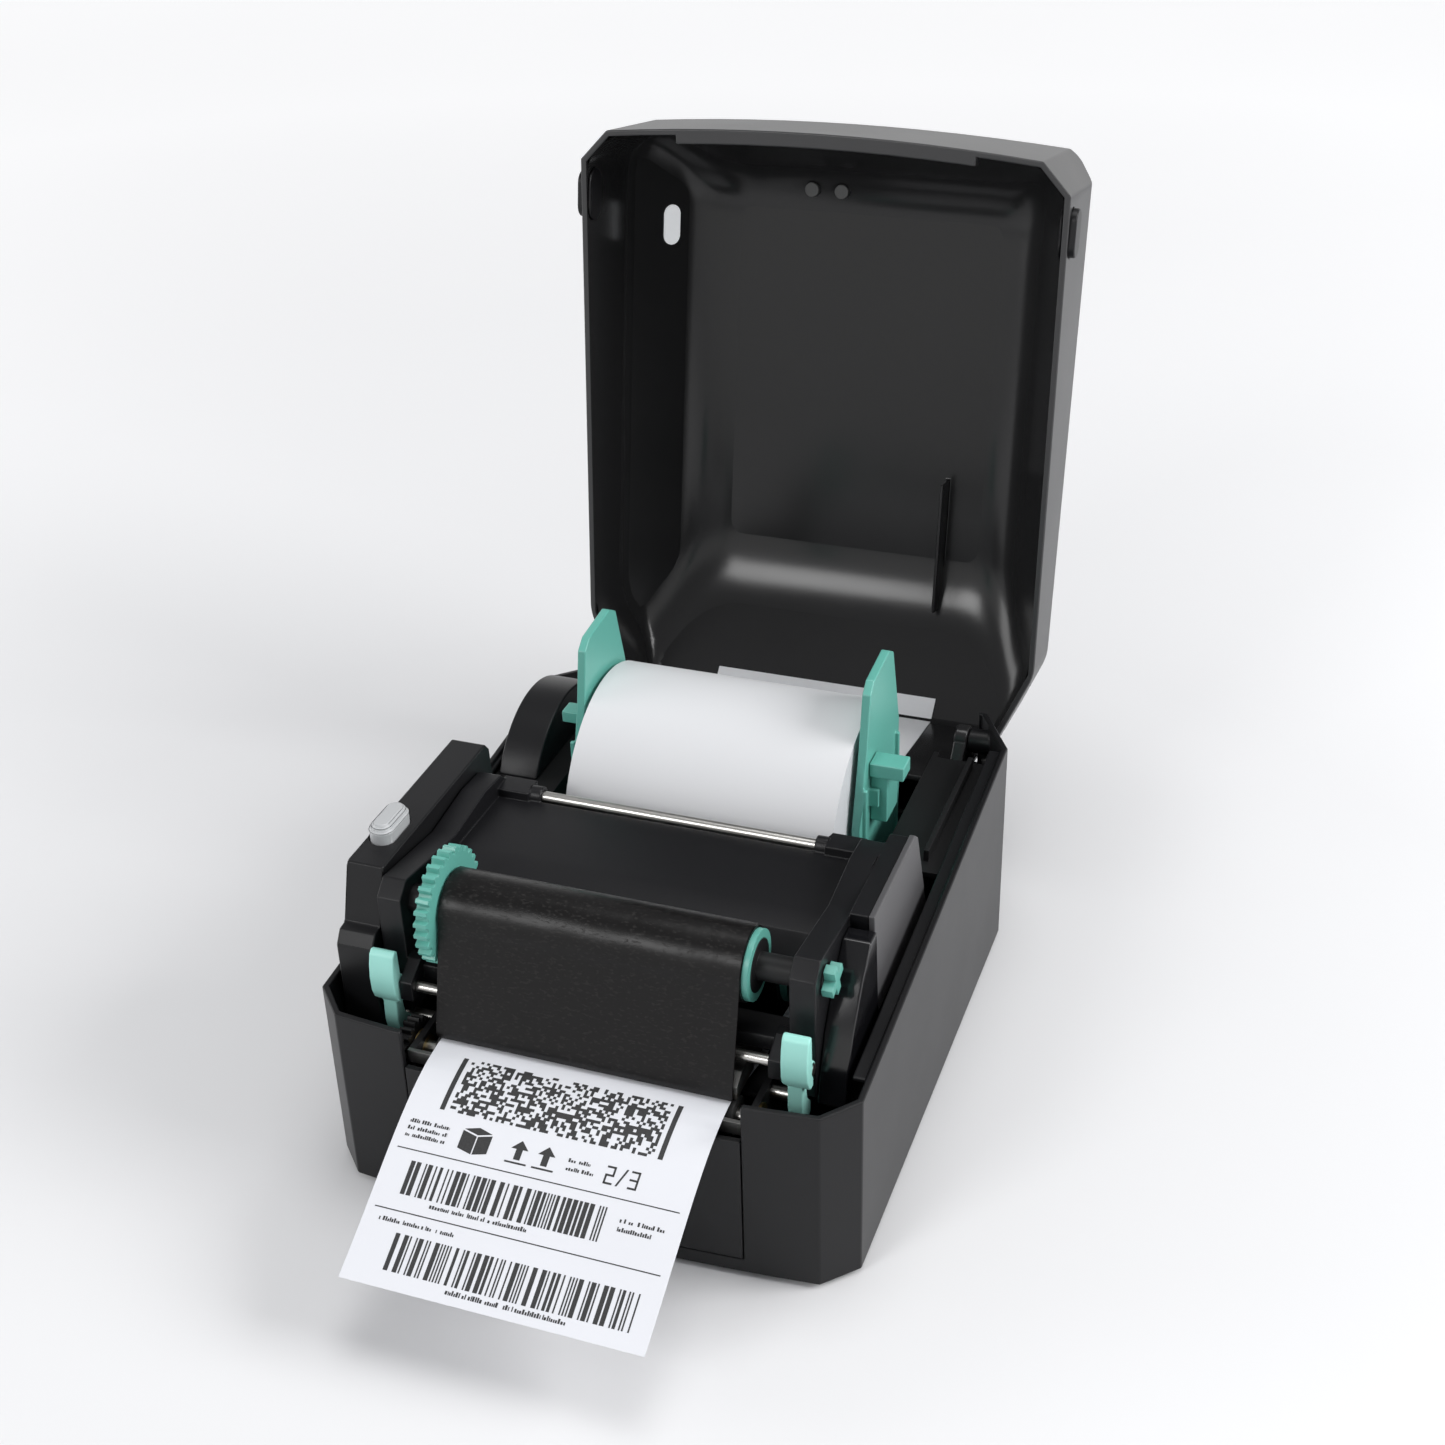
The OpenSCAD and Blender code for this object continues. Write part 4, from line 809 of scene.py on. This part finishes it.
def print_marks(name, shapes, spot, bends, material, node):
    """Convex outlines [(u, v), ...] printed on a sheet, which ride with it and are cut where it bends."""
    ink = bmesh.new()
    for shape in shapes:
        low, high = min(v for _, v in shape), max(v for _, v in shape)
        folds = [low] + [v for v in bends if low < v < high] + [high]
        for bottom, top in zip(folds, folds[1:]):
            outline = clip(clip(shape, bottom, 1), top, -1)
            if len(outline) > 2:
                ink.faces.new([ink.verts.new(spot(u, v)) for u, v in outline])
    piece = add_piece(name, ink, material)
    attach(piece, nodes[node]["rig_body"])


def clip(shape, level, side):
    """The part of a convex outline above (side 1) or below (side -1) a level of v."""
    kept = []
    for (u0, v0), (u1, v1) in zip(shape, shape[1:] + shape[:1]):
        in0, in1 = side * (v0 - level) >= 0, side * (v1 - level) >= 0
        if in0:
            kept.append((u0, v0))
        if in0 != in1:
            t = (level - v0) / (v1 - v0)
            kept.append((u0 + t * (u1 - u0), level))
    return kept


def bar(u0, v0, u1, v1):
    return [(u0, v0), (u1, v0), (u1, v1), (u0, v1)]


BAR_WIDTHS = (0.55, 0.55, 1.1, 1.65)


def bar_code(chance, u0, u1, v0, v1):
    """Upright bars of mixed widths between u0 and u1."""
    shapes, u = [], u0
    while u < u1 - 1:
        wide = chance.choice(BAR_WIDTHS)
        shapes.append(bar(u, v0, min(u + wide, u1), v1))
        u += wide + chance.choice(BAR_WIDTHS)
    return shapes


def dot_field(chance, u0, u1, v0, v1, pitch):
    """A field of small squares, half of them filled, joined along each row."""
    shapes = []
    rows, columns = int((v1 - v0) / pitch), int((u1 - u0) / pitch)
    for row in range(rows):
        start = None
        for column in range(columns + 1):
            filled = column < columns and chance.random() < 0.52
            if filled and start is None:
                start = column
            if not filled and start is not None:
                v = v0 + row * pitch
                shapes.append(bar(u0 + start * pitch, v, u0 + column * pitch, v + pitch))
                start = None
    return shapes


def word_dashes(chance, u0, u1, v, height):
    """A row of short dashes of uneven length, where small print would be."""
    shapes, u = [], u0
    while u < u1:
        step = chance.uniform(0.5, 1.1)
        if chance.random() < 0.84:
            tall = height * chance.choice((0.6, 0.75, 1.0))
            shapes.append(bar(u, v, min(u + step * 0.72, u1), v + tall))
        u += step
    return shapes


def parcel_mark(u, v, size):
    """A plain parcel seen from a corner, with a tape line."""
    s = size
    front = [(u, v), (u + 0.5 * s, v - 0.12 * s), (u + 0.5 * s, v + 0.48 * s), (u, v + 0.6 * s)]
    side = [(u + 0.54 * s, v - 0.12 * s), (u + s, v), (u + s, v + 0.6 * s), (u + 0.54 * s, v + 0.48 * s)]
    near, far = (u + 0.52 * s, v + 0.53 * s), (u + 0.5 * s, v + 0.78 * s)
    top = [(u + 0.02 * s, v + 0.65 * s), near, (u + 0.98 * s, v + 0.65 * s), far]
    return [front, side, top]


def arrow_mark(u, v, size):
    """An upright arrow over a base line."""
    s = size
    return [
        bar(u + 0.35 * s, v + 0.12 * s, u + 0.65 * s, v + 0.6 * s),
        [(u + 0.1 * s, v + 0.6 * s), (u + 0.9 * s, v + 0.6 * s), (u + 0.5 * s, v + s)],
        bar(u, v - 0.06 * s, u + s, v + 0.02 * s),
    ]


STROKES = {
    "2": "top right_up middle left_low bottom",
    "3": "top right_up middle right_low bottom",
    "/": "slash",
}


def figure(sign, u, v, tall):
    """A figure made of straight strokes, w wide and t thick."""
    w, t, half = tall * 0.5, tall * 0.11, tall / 2
    places = {
        "top": bar(u, v + tall - t, u + w, v + tall),
        "middle": bar(u, v + half - t / 2, u + w, v + half + t / 2),
        "bottom": bar(u, v, u + w, v + t),
        "right_up": bar(u + w - t, v + half, u + w, v + tall),
        "right_low": bar(u + w - t, v, u + w, v + half),
        "left_low": bar(u, v, u + t, v + half),
        "slash": [(u, v), (u + t, v), (u + w, v + tall), (u + w - t, v + tall)],
    }
    return [places[name] for name in STROKES[sign].split()]


def label_layout():
    """All printed shapes of one label, in mm from its left edge and its free end."""
    chance = random.Random(11)
    shapes = bar_code(chance, 14, 104, 6, 19)
    shapes += word_dashes(chance, 38, 82, 3.2, 1.7)
    shapes += word_dashes(chance, 6, 34, 22, 1.5)
    shapes.append(bar(3, 26, 107, 26.4))
    shapes += bar_code(chance, 10, 84, 32, 44)
    shapes += word_dashes(chance, 22, 58, 29.4, 1.6)
    shapes += word_dashes(chance, 88, 104, 40, 1.5) + word_dashes(chance, 88, 101, 37, 1.5)
    shapes.append(bar(3, 47.5, 107, 47.9))
    shapes += parcel_mark(24, 52, 11) + arrow_mark(42, 51.5, 8) + arrow_mark(52, 51.5, 8)
    shapes += figure("2", 78, 51.5, 6.5) + figure("/", 82.4, 51.5, 6.5) + figure("3", 86.8, 51.5, 6.5)
    for v in (52, 54.6, 57.2):
        shapes += word_dashes(chance, 4, 19, v, 1.4)
    shapes += word_dashes(chance, 64, 74, 53, 1.4) + word_dashes(chance, 64, 72, 56, 1.4)
    shapes += dot_field(chance, 16, 92, 64, 86, 1.1)
    shapes.append(bar(12.5, 64, 14.3, 86))
    shapes.append(bar(93.6, 64, 95.4, 86))
    return shapes


print_marks("label_print", label_layout(), on_web, REACH, black_ink, "label_web")

SHEET_FOOT = Vector((0, 128.6, 78.5))
SHEET_BEND = 47.4
SLOPE_RUN = Vector((0, -0.7824, 0.6227))
SHEET_FRAMES = (-47, -14.5, 18)


def on_sheet(u, v):
    """The point u mm right of the loading guide's middle and v mm up from its low end, in metres."""
    upright, sloping = min(v, SHEET_BEND), max(0.0, v - SHEET_BEND)
    return opened(SHEET_FOOT + Vector((u, 0, upright)) + SLOPE_RUN * sloping)


def outline_bars(u0, v0, u1, v1, line):
    """The four sides of a frame."""
    low, high = bar(u0, v0, u1, v0 + line), bar(u0, v1 - line, u1, v1)
    left, right = bar(u0, v0, u0 + line, v1), bar(u1 - line, v0, u1, v1)
    return [low, high, left, right]


def guide_layout():
    """Three plain loading pictures in frames, with a row of dashes under each."""
    chance = random.Random(5)
    shapes = outline_bars(-50.5, 1.5, 50.5, 56.5, 0.5)
    for u in SHEET_FRAMES:
        shapes += outline_bars(u, 16, u + 29, 53.5, 0.35)
        shapes += [bar(u + 5, 20, u + 24, 27), bar(u + 7, 28.5, u + 22, 30), bar(u + 11, 36, u + 18, 47)]
        shapes += [[(u + 9, 36), (u + 14.5, 32), (u + 20, 36)], bar(u + 5, 49, u + 24, 50.2)]
        for v in (5, 8, 11):
            shapes += word_dashes(chance, u + 1, u + 27, v, 1.4)
    return shapes


print_marks("guide_print", guide_layout(), on_sheet, [SHEET_BEND], grey_ink, "loading_guide")

# ---------------------------------------------------------------- stage and light

NEAR_REACH = 0.35
FLOOR_HALF = 9


def make_floor():
    """A pale floor that turns plain white far from the printer."""
    finish = Finish("floor")
    cloud = finish.noise(2, 2)
    spot = finish.parts(finish.place())
    reach = (spot["X"] * spot["X"] + spot["Y"] * spot["Y"]) ** 0.5
    seen = finish.node("ShaderNodeLightPath")
    glow = (seen["Is Camera Ray"] + seen["Is Glossy Ray"] * 0.35) * ((reach - NEAR_REACH) * 0.3)
    finish.surface(
        base_color=finish.blend(cloud, (0.74, 0.74, 0.75), (0.78, 0.78, 0.79)),
        roughness=0.8,
        emission_color=finish.ramp(glow, [(0.0, 0.0), (0.35, 0.45), (1.0, 0.8)]),
        emission_strength=1.0,
    )
    mesh = bpy.data.meshes.new("floor")
    corners = [(x * FLOOR_HALF, y * FLOOR_HALF, 0) for x, y in ((-1, -1), (1, -1), (1, 1), (-1, 1))]
    mesh.from_pydata(corners, [], [(0, 1, 2, 3)])
    floor = bpy.data.objects.new("floor", mesh)
    scene.collection.objects.link(floor)
    put(floor, finish.material)


def soft_light(name, place, target, size, power):
    """A broad lamp at a place in metres, turned to its target, with its power in watts."""
    lamp = bpy.data.lights.new(name, "AREA")
    lamp.shape = "RECTANGLE"
    lamp.size, lamp.size_y = size
    lamp.energy = power
    holder = bpy.data.objects.new(name, lamp)
    scene.collection.objects.link(holder)
    holder.location = place
    holder.rotation_mode = "QUATERNION"
    holder.rotation_quaternion = (Vector(target) - Vector(place)).to_track_quat("-Z", "Y")


def make_world():
    """Even pale light from all round, with a white backdrop in view and in reflections."""
    studio = Finish("studio", bpy.data.worlds)
    seen = studio.node("ShaderNodeLightPath")
    height = studio.parts(studio.node("ShaderNodeTexCoord")["Generated"])["Z"]
    low_down = studio.level(studio.ramp(height, [(0.28, 1.0), (0.46, 0.0)]))
    mirrored = studio.blend(low_down, (0.36, 0.36, 0.37), (1, 1, 1))
    colour = studio.blend(seen["Is Glossy Ray"], (0.38, 0.385, 0.395), mirrored)
    colour = studio.blend(seen["Is Camera Ray"], colour, (0.95, 0.95, 0.96))
    backdrop = studio.node("ShaderNodeBackground", {}, {"Color": colour, "Strength": 1.0})["Background"]
    studio.node("ShaderNodeOutputWorld", {}, {"Surface": backdrop})
    scene.world = studio.material


make_floor()
make_world()
soft_light("key", (1.5, 0.15, 1.0), (0, 0, 0.1), (0.9, 0.9), 25)
soft_light("front", (-0.65, -1.5, 1.15), (0, 0, 0.15), (0.6, 0.5), 9)
soft_light("side", (-1.4, -0.3, 0.55), (0, 0, 0.1), (0.8, 0.6), 6)
soft_light("top", (0.1, 0.1, 1.7), (0, 0, 0.1), (0.9, 0.7), 8)
scene.view_settings.view_transform = "Standard"
